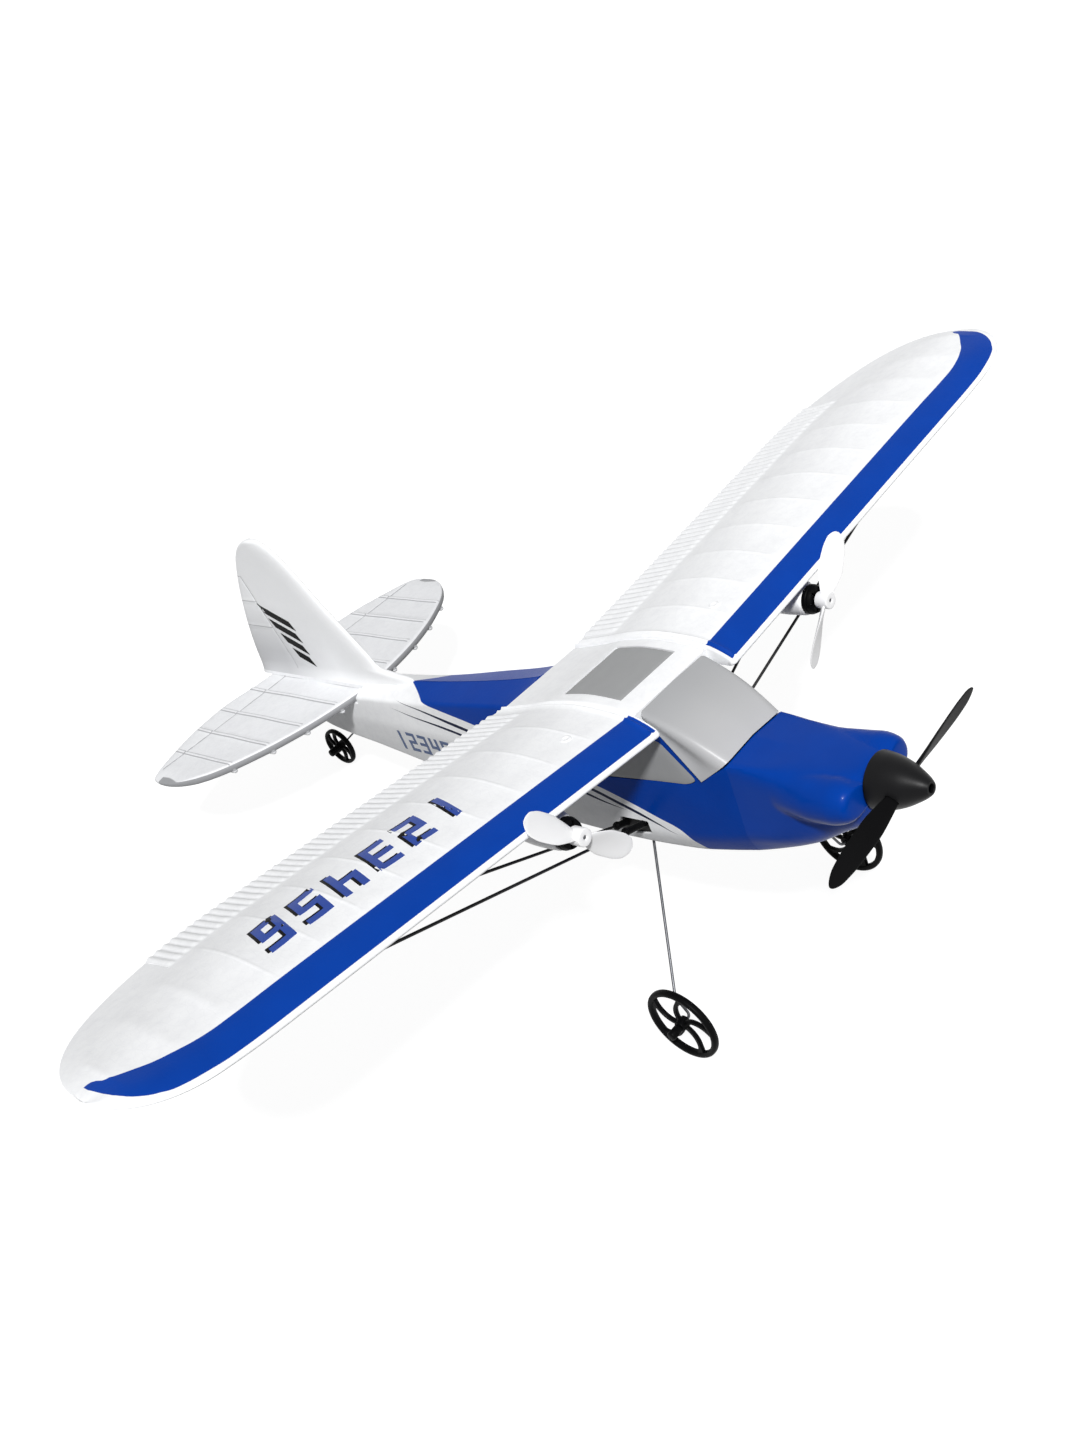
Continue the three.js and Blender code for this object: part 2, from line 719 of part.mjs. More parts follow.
// A block along X with the recess's outline, drawn in by inset
function recessBlock(x0, x1, inset) {
  const shrink = 1 - (2 * inset) / recessDepth;
  const drawnIn = (share) => 1 / 2 + (share - 1 / 2) * shrink;
  const outline = recessShares.map(([along, down]) => [
    recessFrontY + recessLength * drawnIn(along), recessTopZ - recessDepth * drawnIn(down),
  ]);
  const side = (x) => outline.map(([y, z]) => new THREE.Vector3(x, y, z));
  return toSolid(loft([side(x0), side(x1)], flattenX));
}

// The opening reaches ahead of the hinge, so that the panel's front edge has room to turn
function hatchCut(gap) {
  const half = hatchHalfWidth + gap;
  const front = hingePoint().y - hingeRadius - gap;
  return toSolid(blockBetween(
    -half, half, front, hatchRearY + gap, -bodyDepth - cutOverrun, -bodyDepth / 2,
  ));
}

function hingePoint() {
  return new THREE.Vector3(0, hatchFrontY - hingeRadius / 2, keelZAt(hatchFrontY) + hingeRadius);
}

function hingeBarrel(radius, half) {
  const middle = hingePoint();
  const start = middle.clone().setX(-half);
  const end = middle.clone().setX(half);
  return toSolid(rodBetween(start, end, radius, hingeBarrelSides));
}

// A round wire through points, mitred where it bends; extra makes the bore that holds it
function wireThrough(points, radius, extra) {
  const angles = Array.from({ length: wireSides }, (unused, i) => (2 * Math.PI * i) / wireSides);
  const directions = points.slice(1).map((point, i) => point.clone().sub(points[i]).normalize());
  const reach = radius + extra;
  const across = new THREE.Vector3(0, 0, 1).cross(directions[0]).normalize();
  const sections = [];
  let rim = angles.map((angle) => {
    const up = directions[0].clone().cross(across);
    const spoke = across.clone().multiplyScalar(Math.cos(angle)).addScaledVector(up, Math.sin(angle));
    return spoke.multiplyScalar(reach);
  });
  points.forEach((point, i) => {
    const before = directions[Math.max(0, i - 1)];
    const after = directions[Math.min(directions.length - 1, i)];
    const normal = before.clone().add(after).normalize();
    const slide = (spoke) => -spoke.dot(normal) / before.dot(normal);
    rim = rim.map((spoke) => spoke.clone().addScaledVector(before, slide(spoke)));
    const push = (i === 0 ? -extra : 0) + (i === points.length - 1 ? extra : 0);
    sections.push(rim.map((spoke) => spoke.clone().add(point).addScaledVector(before, push)));
  });
  const flattenWire = (point, i) => new THREE.Vector2(Math.cos(angles[i]), Math.sin(angles[i]));
  return loft(sections, flattenWire);
}

function gearLeg(side, extra = 0) {
  const end = mainAxle.clone().setX(mainRetainerEndX - retainerCap - touchGap);
  const points = [legTop, legKnee, mainAxle, end].map((point) => mirrored(point, side));
  return wireThrough(points, legRadius, extra);
}

function tailWire(extra = 0) {
  const corner = tailWheel.clone().setX(tailWireOffset);
  const tip = tailHubWidth / 2 + endFloat + tailRetainerLength - retainerCap - touchGap;
  return wireThrough([tailWireTop, corner, tailWheel.clone().setX(-tip)], tailWireRadius, extra);
}

function stabilizerSeat() {
  const under = tailMidZ - tailThickness / 2 - tailRibHeight;
  const half = cabinHalfWidth;
  const floor = tailMidZ - tailThickness / 2 - touchGap;
  const ribX = tailRibXShares[0] * tailHalfSpan - tailRibWidth;
  const seat = toSolid(blockBetween(
    -half, half, tailFrontY - touchGap, bodyRearY + cutOverrun, floor, 0,
  ));
  const ribRoom = toSolid(blockBetween(ribX, half, tailFrontY, bodyRearY, under - touchGap, 0));
  return seat.add(ribRoom);
}

function finTabPocket(gap) {
  const half = finThickness / 2 + gap;
  return toSolid(blockBetween(
    -half, half, finTabFrontY - gap, finTabRearY + gap, finBaseZ - finTabDepth - gap, finBaseZ + cutOverrun,
  ));
}

function fuselageWhole() {
  let body = bodyBlank(0).subtract(cavity());
  const far = cabinHalfWidth + cutOverrun;
  const window = windowSpace(touchGap, glazingThickness + touchGap);
  const lead = toSolid(motorLead(touchGap));
  const cuts = [
    wingSaddle(), windshieldBlock(-touchGap, touchGap, -cutOverrun), windshieldSlope(),
    recessBlock(-far, far, 0), hatchCut(touchGap), stabilizerSeat(), finTabPocket(touchGap),
    toSolid(tailWire(fitGap)), hingePinBore(), trayPlate(touchGap),
    toSolid(gearLeg(1, touchGap)), toSolid(gearLeg(-1, touchGap)),
    window, window.mirror([1, 0, 0]), lead, lead.mirror([1, 0, 0]),
  ];
  cuts.forEach((cutter) => {
    body = body.subtract(cutter);
  });
  return body;
}

function cavity() {
  const half = windshieldFootHalfWidth - foamWall;
  const open = toSolid(blockBetween(
    -half, half, bodyFrontY - cutOverrun, bodyFrontY + cutOverrun,
    keelZAt(bodyFrontY) + foamWall, windshieldFootZ - foamWall,
  ));
  return bodyBlank(foamWall, bodyRearY - solidTailLength).add(open);
}

function hingePinBore() {
  const middle = hingePoint();
  const start = middle.clone().setX(-hingePinHalfLength - touchGap);
  const end = middle.clone().setX(hingePinHalfLength + touchGap);
  return toSolid(rodBetween(start, end, hingePinRadius + fitGap));
}

function fuselageHalf(side) {
  const far = cabinHalfWidth + cutOverrun;
  const keep = toSolid(blockBetween(
    side * seamGap, side * far, bodyFrontY - cutOverrun, bodyRearY + cutOverrun,
    -bodyDepth - cutOverrun, bodyDepth,
  ));
  return fuselageWhole().intersect(keep);
}

// Cowl
function cowlSection(row, inset) {
  const [along, top, width, waist, keel, squareness] = row;
  const y = bodyFrontY - touchGap - along * (cowlLength - touchGap);
  const round = (value) => Math.sign(value) * Math.abs(value) ** (2 / squareness);
  const points = [];
  for (let i = 0; i < cowlSides; i += 1) {
    const angle = (2 * Math.PI * i) / cowlSides;
    const up = Math.sin(angle);
    const height = up >= 0 ? top - waist : waist - keel;
    points.push(new THREE.Vector3(
      round(Math.cos(angle)) * (width * cabinHalfWidth - inset),
      y,
      waist * bodyDepth + round(up) * (height * bodyDepth - inset),
    ));
  }
  return points;
}

function cowlBlank(inset, rows) {
  return toSolid(loft(rows.map((row) => cowlSection(row, inset)), flattenY));
}

function cowl() {
  let shell = cowlBlank(0, cowlShares);
  [-1, 1].forEach((side) => {
    const profile = cheekShares.map(([radius, along]) => [
      radius * cheekRadius, cheekFrontY + along * cheekLength,
    ]);
    shell = shell.add(toSolid(turnedAlongY(profile, side * cheekX, cheekZ, cheekSegments)));
  });
  const inner = cowlBlank(cowlWall, cowlShares.slice(0, -1));
  const mouth = inner.translate(0, cowlMouthRun, 0);
  const bore = toSolid(rodBetween(
    new THREE.Vector3(0, cowlFrontY - cutOverrun, noseAxisZ), new THREE.Vector3(0, bodyFrontY, noseAxisZ),
    noseBearingRadius + fitGap, noseBearingSides,
  ));
  return shell.subtract(inner).subtract(mouth).subtract(bore);
}

// Propellers
function bladeSection(row, radius, maxChord, grow) {
  const [along, chordShare, pitchDegrees] = row;
  const pitch = THREE.MathUtils.degToRad(pitchDegrees);
  const thickness = propRootThickness + along * (propTipThickness - propRootThickness);
  const points = [];
  for (let i = 0; i < propSectionPoints; i += 1) {
    const angle = (2 * Math.PI * i) / propSectionPoints;
    const across = Math.cos(angle) * ((chordShare * maxChord) / 2 + grow);
    const through = Math.sin(angle) * (thickness / 2 + grow);
    points.push(new THREE.Vector3(
      along * radius,
      across * Math.sin(pitch) + through * Math.cos(pitch),
      across * Math.cos(pitch) - through * Math.sin(pitch),
    ));
  }
  return points;
}

// Two blades turned by degrees from X; pitchSide sets which way they are twisted
function twoBlades(radius, maxChord, degrees, pitchSide, grow = 0) {
  const sections = bladeShares.map((row) => bladeSection(row, radius, maxChord, grow));
  const blade = loft(sections.map((points) => points.map((p) => p.setZ(pitchSide * p.z))), flattenX);
  const other = blade.clone().rotateY(Math.PI);
  const turn = THREE.MathUtils.degToRad(-degrees);
  return toSolid(blade.rotateY(turn)).add(toSolid(other.rotateY(turn)));
}

function motorPropeller() {
  const middle = (propHubFrontY + propHubRearY) / 2;
  const hub = turnedAlongY([
    [0, propHubFrontY], [propHubRadius, propHubFrontY], [propHubRadius, propHubRearY], [0, propHubRearY],
  ], 0, 0, propHubSides);
  const bore = toSolid(rodBetween(
    new THREE.Vector3(0, propHubFrontY - cutOverrun, 0), new THREE.Vector3(0, propHubRearY + cutOverrun, 0),
    motorShaftRadius + fitGap, boreSides,
  ));
  const blades = twoBlades(propRadius, propChord, propDegrees, 1).translate(0, middle, 0);
  return toSolid(hub).add(blades).subtract(bore);
}

function noseBlades(grow) {
  return twoBlades(nosePropRadius, nosePropChord, nosePropDegrees, -1, grow).translate(0, nosePropY, 0);
}

function nosePropeller() {
  const half = nosePropHubLength / 2;
  const at = (run) => new THREE.Vector3(0, nosePropY + run, 0);
  const rod = (radius, reach, segments) => toSolid(rodBetween(at(-reach), at(reach), radius, segments));
  const hub = rod(nosePropHubRadius, half, propHubSides);
  return hub.add(noseBlades(0)).subtract(rod(noseShaftRadius + fitGap, half + cutOverrun, boreSides));
}

function spinner() {
  const midY = spinnerBaseY - spinnerMidShare * (spinnerBaseY - spinnerTipY);
  const midRadius = spinnerRadius * spinnerMidRadiusShare;
  const shell = toSolid(turnedAlongY([
    [spinnerRadius - spinnerWall, spinnerBaseY], [spinnerRadius, spinnerBaseY],
    [midRadius, midY], [spinnerTipRadius, spinnerTipY], [spinnerTipRadius - spinnerWall, spinnerTipY],
    [spinnerTipRadius - spinnerWall, spinnerTipY + spinnerWall], [midRadius - spinnerWall, midY],
    [spinnerRadius - spinnerWall, spinnerBaseY],
  ], 0, 0, spinnerSides));
  return shell.subtract(noseBlades(touchGap));
}

function noseBearing() {
  const bore = noseShaftRadius + runningFit;
  const face = cowlFrontY - touchGap;
  return turnedAlongY([
    [bore, face - noseFlangeThickness], [noseFlangeRadius, face - noseFlangeThickness],
    [noseFlangeRadius, face], [noseBearingRadius, face],
    [noseBearingRadius, face + noseBearingLength], [bore, face + noseBearingLength],
    [bore, face - noseFlangeThickness],
  ], 0, noseAxisZ, noseBearingSides);
}

function noseShaft() {
  const rear = new THREE.Vector3(0, noseShaftRearY, 0);
  const front = new THREE.Vector3(0, nosePropY - nosePropHubLength / 2, 0);
  return rodBetween(rear, front, noseShaftRadius, shaftSides);
}

function noseCollar() {
  const front = cowlFrontY - touchGap + noseBearingLength + endFloat;
  const bore = noseShaftRadius + fitGap;
  return turnedAlongY([
    [bore, front], [collarRadius, front],
    [collarRadius, front + collarLength], [bore, front + collarLength], [bore, front],
  ], 0, 0, collarSides);
}

// Motors
function nacelle() {
  const sections = nacelleShares.map(([along, radiusShare, riseShare]) => {
    const points = [];
    for (let i = 0; i < nacelleSides; i += 1) {
      const angle = (2 * Math.PI * i) / nacelleSides;
      points.push(new THREE.Vector3(
        motorX + Math.cos(angle) * radiusShare * nacelleRadius,
        nacelleFrontY + along * nacelleLength,
        motorAxisZ + riseShare * nacelleRadius + Math.sin(angle) * radiusShare * nacelleRadius,
      ));
    }
    return points;
  });
  const pylon = toSolid(blockBetween(
    motorX - pylonWidth / 2, motorX + pylonWidth / 2,
    nacelleFrontY + pylonInset, nacelleFrontY + nacelleLength * pylonEndShare,
    motorAxisZ, wingUnderZ(motorX, 0) + pylonInset,
  ));
  const bore = toSolid(rodBetween(
    new THREE.Vector3(motorX, nacelleFrontY - cutOverrun, motorAxisZ),
    new THREE.Vector3(motorX, nacelleFrontY + motorLength + motorRearSpace, motorAxisZ),
    motorRadius + fitGap, motorSides,
  ));
  const leadBore = toSolid(motorLead(touchGap));
  const above = wingBlank().translate(0, 0, -touchGap).add(wingBlank().translate(0, 0, touchGap));
  return toSolid(loft(sections, flattenY)).add(pylon).subtract(above).subtract(bore).subtract(leadBore);
}

function motorCan() {
  const front = nacelleFrontY + touchGap;
  const bore = motorShaftRadius + runningFit;
  return turnedAlongY([
    [0, front + motorLength], [motorRadius, front + motorLength], [motorRadius, front],
    [bore, front], [bore, front + motorShaftInset + endFloat], [0, front + motorShaftInset + endFloat],
  ], 0, 0, motorSides);
}

function motorCap() {
  const rear = nacelleFrontY - touchGap;
  const front = rear - capLength;
  const bore = motorShaftRadius + capBoreGap;
  const shell = toSolid(turnedAlongY([
    [capRadius - capWall, rear], [capRadius, rear], [capFrontRadius, front], [bore, front],
    [bore, front + capWall], [capFrontRadius - capWall, front + capWall], [capRadius - capWall, rear],
  ], 0, 0, motorSides));
  let vented = shell;
  const ventEnd = capFrontRadius - capWall / 2;
  for (let i = 0; i < ventCount; i += 1) {
    const slot = blockBetween(
      bore + capWall, ventEnd, front - cutOverrun, front + ventDepth, -ventWidth / 2, ventWidth / 2,
    );
    vented = vented.subtract(toSolid(slot.rotateY((2 * Math.PI * i) / ventCount)));
  }
  return vented;
}

function motorShaft() {
  const rear = new THREE.Vector3(0, nacelleFrontY + touchGap + motorShaftInset, 0);
  const front = new THREE.Vector3(0, propHubFrontY + touchGap, 0);
  return rodBetween(rear, front, motorShaftRadius, shaftSides);
}

// Struts, their mount and anchors
function mirrored(point, side) {
  return new THREE.Vector3(side * point.x, point.y, point.z);
}

// The point at a distance outward from the root on the line to the tip
function alongStrut(root, tip, distance) {
  return tip.clone().sub(root).normalize().multiplyScalar(distance).add(root);
}

function strutSocket(root, tip, radius, start, end, side) {
  const inner = mirrored(alongStrut(root, tip, start), side);
  const outer = mirrored(alongStrut(root, tip, end), side);
  return toSolid(rodBetween(inner, outer, radius, socketSides));
}

function strutMount() {
  const inside = bodyBlank(foamWall + touchGap, bodyRearY - solidTailLength);
  const rear = recessFrontY + recessLength;
  const core = toSolid(blockBetween(
    -mountHalfWidth, mountHalfWidth, recessFrontY, rear, -bodyDepth, mountTopZ,
  ));
  const ears = recessBlock(-cabinHalfWidth, cabinHalfWidth, touchGap).intersect(bodyBlank(mountFaceInset));
  let block = core.intersect(inside).add(ears);
  const sockets = [
    [strutFrontRoot, strutFrontTip, frontSocketLength], [strutRearRoot, strutRearTip, rearSocketLength],
  ];
  const wide = strutRadius + fitGap;
  [-1, 1].forEach((side) => {
    sockets.forEach(([root, tip, length]) => {
      block = block.add(strutSocket(root, tip, socketRadius, 0, length, side));
    });
    sockets.forEach(([root, tip, length]) => {
      block = block.subtract(strutSocket(root, tip, wide, 0, length + cutOverrun, side));
    });
    block = block.subtract(toSolid(gearLeg(side, fitGap)));
  });
  return block;
}

function strut(root, tip, side) {
  const start = mirrored(alongStrut(root, tip, touchGap), side);
  const end = mirrored(alongStrut(root, tip, root.distanceTo(tip) - strutEndGap), side);
  return rodBetween(start, end, strutRadius, socketSides);
}

function strutAnchor(root, tip, side) {
  const plate = blockBetween(
    -anchorLength / 2, anchorLength / 2, -anchorWidth / 2, anchorWidth / 2, -anchorThickness, 0,
  );
  plate.rotateY(-Math.atan(slope)).translate(tip.x, tip.y, wingUnderZ(tip.x, tip.y) - fitGap);
  const length = root.distanceTo(tip);
  const sleeve = strutSocket(root, tip, socketRadius, length - anchorLength / 2, length, 1);
  const bore = strutSocket(root, tip, strutRadius + fitGap, length - anchorLength, length + cutOverrun, 1);
  const above = wingBlank().translate(0, 0, -touchGap);
  return flipped(toSolid(plate).add(sleeve).subtract(above).subtract(bore), side);
}

const polar = (turn, reach) => new THREE.Vector2(Math.cos(turn) * reach, Math.sin(turn) * reach);

// Wheels turn about X at the origin
function spokedWheel(radius, width, rim, hubRadius, hubWidth, spokes, boreRadius) {
  const half = width / 2;
  const face = half * rimFaceShare;
  const tread = half * rimTreadShare;
  const shoulder = radius - rim * rimShoulderShare;
  const profile = [
    [radius - rim, -face], [shoulder, -half], [radius, -tread],
    [radius, tread], [shoulder, half], [radius - rim, face], [radius - rim, -face],
  ];
  const ring = new THREE.LatheGeometry(profile.map(([r, y]) => new THREE.Vector2(r, y)), wheelSegments);
  const hub = new THREE.CylinderGeometry(hubRadius, hubRadius, hubWidth, propHubSides);
  let wheel = toSolid(ring).add(toSolid(hub));
  const sweep = THREE.MathUtils.degToRad(spokeSweepDegrees);
  for (let i = 0; i < spokes; i += 1) {
    const angle = (2 * Math.PI * i) / spokes;
    const inner = polar(angle, hubRadius * spokeRootShare);
    const middle = polar(angle, radius * spokeBendShare);
    const outer = polar(angle + sweep, radius - rim * spokeTipShare);
    const curve = new THREE.QuadraticBezierCurve(inner, middle, outer);
    wheel = wheel.add(toSolid(spokeAlong(curve, spokeWidth, width * spokeThicknessShare)));
  }
  const bore = new THREE.CylinderGeometry(boreRadius, boreRadius, hubWidth + cutOverrun, boreSides);
  return wheel.subtract(toSolid(bore)).rotate([0, 0, 90]);
}

function spokeAlong(curve, width, thickness) {
  const left = [];
  const right = [];
  for (let i = 0; i <= spokeSteps; i += 1) {
    const share = i / spokeSteps;
    const point = curve.getPoint(share);
    const tangent = curve.getTangent(share);
    const flare = (width / 2) * (1 + share * share);
    left.push(new THREE.Vector2(point.x - tangent.y * flare, point.y + tangent.x * flare));
    right.push(new THREE.Vector2(point.x + tangent.y * flare, point.y - tangent.x * flare));
  }
  const outline = [...left, ...right.reverse()];
  const layer = (y) => outline.map((point) => new THREE.Vector3(point.x, y, point.y));
  return loft([layer(-thickness / 2), layer(thickness / 2)], flattenY);
}

function mainWheel() {
  return spokedWheel(
    mainWheelRadius, mainWheelWidth, mainRimThickness, mainHubRadius, mainHubWidth, mainSpokeCount,
    legRadius + runningFit,
  );
}

function tailWheelSolid() {
  return spokedWheel(
    tailWheelRadius, tailWheelWidth, tailRimThickness, tailHubRadius, tailHubWidth, tailSpokeCount,
    tailWireRadius + runningFit,
  );
}

// A sleeve along X with its closed end at negative X
function retainer(length, boreRadius) {
  const sleeve = toSolid(new THREE.CylinderGeometry(retainerRadius, retainerRadius, length, propHubSides));
  const bore = new THREE.CylinderGeometry(boreRadius, boreRadius, length, boreSides);
  bore.translate(0, -retainerCap, 0);
  return sleeve.subtract(toSolid(bore)).rotate([0, 0, 90]);
}

// Tail surfaces
function stabilizer() {
  const place = (side) => ([x, y]) => [side * x * tailHalfSpan, tailFrontY + y * tailLength];
  const left = tailOutlineShares.map(place(1));
  const right = tailOutlineShares.slice(1, -1).map(place(-1)).reverse();
  const layer = (z) => [...left, ...right].map(([x, y]) => new THREE.Vector3(x, y, z));
  const half = tailThickness / 2;
  let plate = toSolid(loft([layer(tailMidZ - half), layer(tailMidZ + half)], flattenZ));
  tailRibXShares.forEach((share, i) => {
    [-1, 1].forEach((side) => {
      const x = side * share * tailHalfSpan;
      const rib = blockBetween(
        x - tailRibWidth / 2, x + tailRibWidth / 2,
        tailFrontY + tailRibFrontShares[i] * tailLength, tailFrontY + tailRibRearShares[i] * tailLength,
        tailMidZ - half - tailRibHeight, tailMidZ + half + tailRibHeight,
      );
      plate = plate.add(toSolid(rib));
    });
  });
  return plate.subtract(finTabPocket(touchGap));
}

function fin() {
  const half = finThickness / 2;
  const top = finOutlineShares.map(([y, z]) => [finFrontY + y * finLength, finBaseZ + z * finHeight]);
  const outline = [
    ...top,
    [finTabRearY, finBaseZ], [finTabRearY, finBaseZ - finTabDepth],
    [finTabFrontY, finBaseZ - finTabDepth], [finTabFrontY, finBaseZ],
  ];
  const layer = (x) => outline.map(([y, z]) => new THREE.Vector3(x, y, z));
  const blade = toSolid(loft([layer(-half), layer(half)], flattenX));
  const plateTop = tailMidZ + tailThickness / 2 + touchGap;
  const overPlate = toSolid(blockBetween(
    -finThickness, finThickness, tailFrontY - touchGap, finTabFrontY, tailMidZ, plateTop,
  )).add(toSolid(blockBetween(
    -finThickness, finThickness, finTabRearY, finFrontY + finLength + cutOverrun, tailMidZ, plateTop,
  )));
  const ahead = toSolid(blockBetween(
    -cabinHalfWidth, cabinHalfWidth, bodyFrontY, tailFrontY + touchGap, -bodyDepth, bodyDepth,
  ));
  return blade.subtract(overPlate).subtract(bodyBlank(-touchGap).intersect(ahead));
}

// Equipment
function trayPlate(gap) {
  const half = trayHalfWidth + gap;
  return toSolid(blockBetween(
    -half, half, trayFrontY - gap, trayRearY + gap, trayTopZ - trayThickness - gap, trayTopZ + gap,
  ));
}

function equipmentTray() {
  const inner = batteryThickness / 2 + batteryGap;
  const foot = trayTopZ - trayThickness - batteryHeight;
  const wall = (side) => toSolid(blockBetween(
    side * inner, side * (inner + trayWall), trayFrontY, trayRearY, foot, trayTopZ,
  ));
  return trayPlate(0).add(wall(1)).add(wall(-1));
}

function battery() {
  const half = batteryThickness / 2;
  const top = trayTopZ - trayThickness - batteryGap;
  return blockBetween(
    -half, half, batteryFrontY, batteryFrontY + batteryLength, top - batteryHeight, top,
  );
}

function boardTopZ() {
  return trayTopZ + 2 * touchGap + padThickness + boardThickness;
}

function tapePad() {
  const half = boardWidth / 2 - padInset;
  const low = trayTopZ + touchGap;
  const rear = boardFrontY + boardLength - padInset;
  return blockBetween(-half, half, boardFrontY + padInset, rear, low, low + padThickness);
}

function controlBoard() {
  const half = boardWidth / 2;
  const top = boardTopZ();
  return blockBetween(-half, half, boardFrontY, boardFrontY + boardLength, top - boardThickness, top);
}

function batterySocket() {
  const half = socketWidth / 2;
  const low = boardTopZ() + touchGap;
  const rear = boardFrontY + boardLength + touchGap;
  return blockBetween(-half, half, rear - socketLength, rear, low, low + socketHeight);
}

function batteryPlug() {
  const half = socketWidth / 2 - touchGap;
  const low = boardTopZ() + 2 * touchGap;
  const front = boardFrontY + boardLength + 2 * touchGap;
  return blockBetween(-half, half, front, front + plugLength, low, low + socketHeight - 2 * touchGap);
}

function batteryLead(side) {
  const plugRear = boardFrontY + boardLength + plugLength + 3 * touchGap;
  const plugMid = boardTopZ() + touchGap + socketHeight / 2;
  const cellRear = batteryFrontY + batteryLength + touchGap;
  const cellMid = trayTopZ - batteryHeight / 2;
  const x = (side * leadPitch) / 2;
  const reach = batteryLeadReach;
  const curve = new THREE.CatmullRomCurve3([
    ...leadPlugShares.map(([aft, down]) => new THREE.Vector3(
      x, plugRear + aft * reach, plugMid - down * leadPitch,
    )),
    new THREE.Vector3(x, plugRear + leadTurnRunShare * reach, cellMid + leadTurnRiseShare * leadPitch),
    new THREE.Vector3(x, cellRear + leadCellRunShare * reach, cellMid),
    new THREE.Vector3(x, cellRear, cellMid),
  ]);
  return tubeAlong(curve, leadRadius, batteryLeadSteps, leadCurveSegments);
}

// From the board up through the side wall, along the wing's underside, to the motor
function motorLead(extra = 0) {
  const onBoard = boardTopZ() + touchGap + motorLeadRadius;
  const under = (x) => new THREE.Vector3(x, motorLeadY, wingUnderZ(x, motorLeadY));
  const rootStart = wingRootX + foamWall;
  const rootEnd = motorX - leadEntryRun;
  const motorRearY = nacelleFrontY + motorLength + 2 * touchGap;
  const curve = new THREE.CatmullRomCurve3([
    new THREE.Vector3(leadBoardX, leadBoardY, onBoard),
    new THREE.Vector3(leadBendX, leadBendY, onBoard + leadBendRise),
    new THREE.Vector3(cabinHalfWidth - foamWall, motorLeadY, leadHoleZ),
    new THREE.Vector3(cabinHalfWidth, motorLeadY, leadHoleZ),
    ...leadUnderShares.map((share) => under(rootStart + share * (rootEnd - rootStart))),
    new THREE.Vector3(motorX - nacelleRadius / 2, motorLeadY, motorAxisZ + nacelleRadius / 2),
    new THREE.Vector3(motorX, motorRearY + motorLeadRadius, motorAxisZ),
  ]);
  return tubeAlong(curve, motorLeadRadius + extra, motorLeadSteps, leadCurveSegments);
}

// Battery hatch: a piece of the belly's own skin on a hinge pin at its front end
function batteryHatch() {
  const skin = bodyBlank(0).subtract(bodyBlank(hatchThickness));
  const panel = skin.intersect(toSolid(blockBetween(
    -hatchHalfWidth, hatchHalfWidth, hatchFrontY, hatchRearY, -bodyDepth - cutOverrun, -bodyDepth / 2,
  )));
  return panel.add(hingeBarrel(hingeRadius, hingeHalfWidth)).subtract(hingePinBore());
}

function hatchPin() {
  const start = hingePoint().setX(-hingePinHalfLength);
  const end = hingePoint().setX(hingePinHalfLength);
  return rodBetween(start, end, hingePinRadius);
}

// Assembly
const aircraft = new THREE.Group();

function place(name, shape, finish, position = [0, 0, 0]) {
  const geometry = shape.isBufferGeometry ? shape : toGeometry(shape);
  const mesh = new THREE.Mesh(geometry, finishes[finish].clone());
  mesh.name = name;
  mesh.position.set(...position);
  aircraft.add(mesh);
}

const sides = [["left", 1], ["right", -1]];
const flipped = (solid, side) => (side > 0 ? solid : solid.mirror([1, 0, 0]));

place("cowl", cowl(), "blue");
place("windshield", windshield(), "glazing");
place("wing_center_section", centerWithPocket(), "foam");
place("skylight", skylight(), "glazing");
place("nose_bearing", noseBearing(), "brass");
place("nose_shaft", noseShaft(), "steel", [0, 0, noseAxisZ]);
place("nose_shaft_collar", noseCollar(), "brass", [0, 0, noseAxisZ]);
place("nose_propeller", nosePropeller(), "black", [0, 0, noseAxisZ]);
place("spinner", spinner(), "black", [0, 0, noseAxisZ]);
place("strut_mount", strutMount(), "black");
place("tail_wheel_wire", tailWire(), "steel");
place("tail_wheel", tailWheelSolid(), "black", tailWheel.toArray());
place("tail_wheel_retainer", retainer(tailRetainerLength, tailWireRadius + fitGap), "black", [
  -tailHubWidth / 2 - endFloat - tailRetainerLength / 2, tailWheel.y, tailWheel.z,
]);
place("stabilizer", stabilizer(), "foam");
place("fin", fin(), "foam");
place("equipment_tray", equipmentTray(), "black");
place("battery", battery(), "cell");
place("board_tape_pad", tapePad(), "white");
place("control_board", controlBoard(), "board");
place("battery_socket", batterySocket(), "white");
place("battery_plug", batteryPlug(), "white");
place("battery_lead_red", batteryLead(1), "red");
place("battery_lead_black", batteryLead(-1), "black");
place("battery_hatch", batteryHatch(), "foam");
place("hatch_hinge_pin", hatchPin(), "steel");

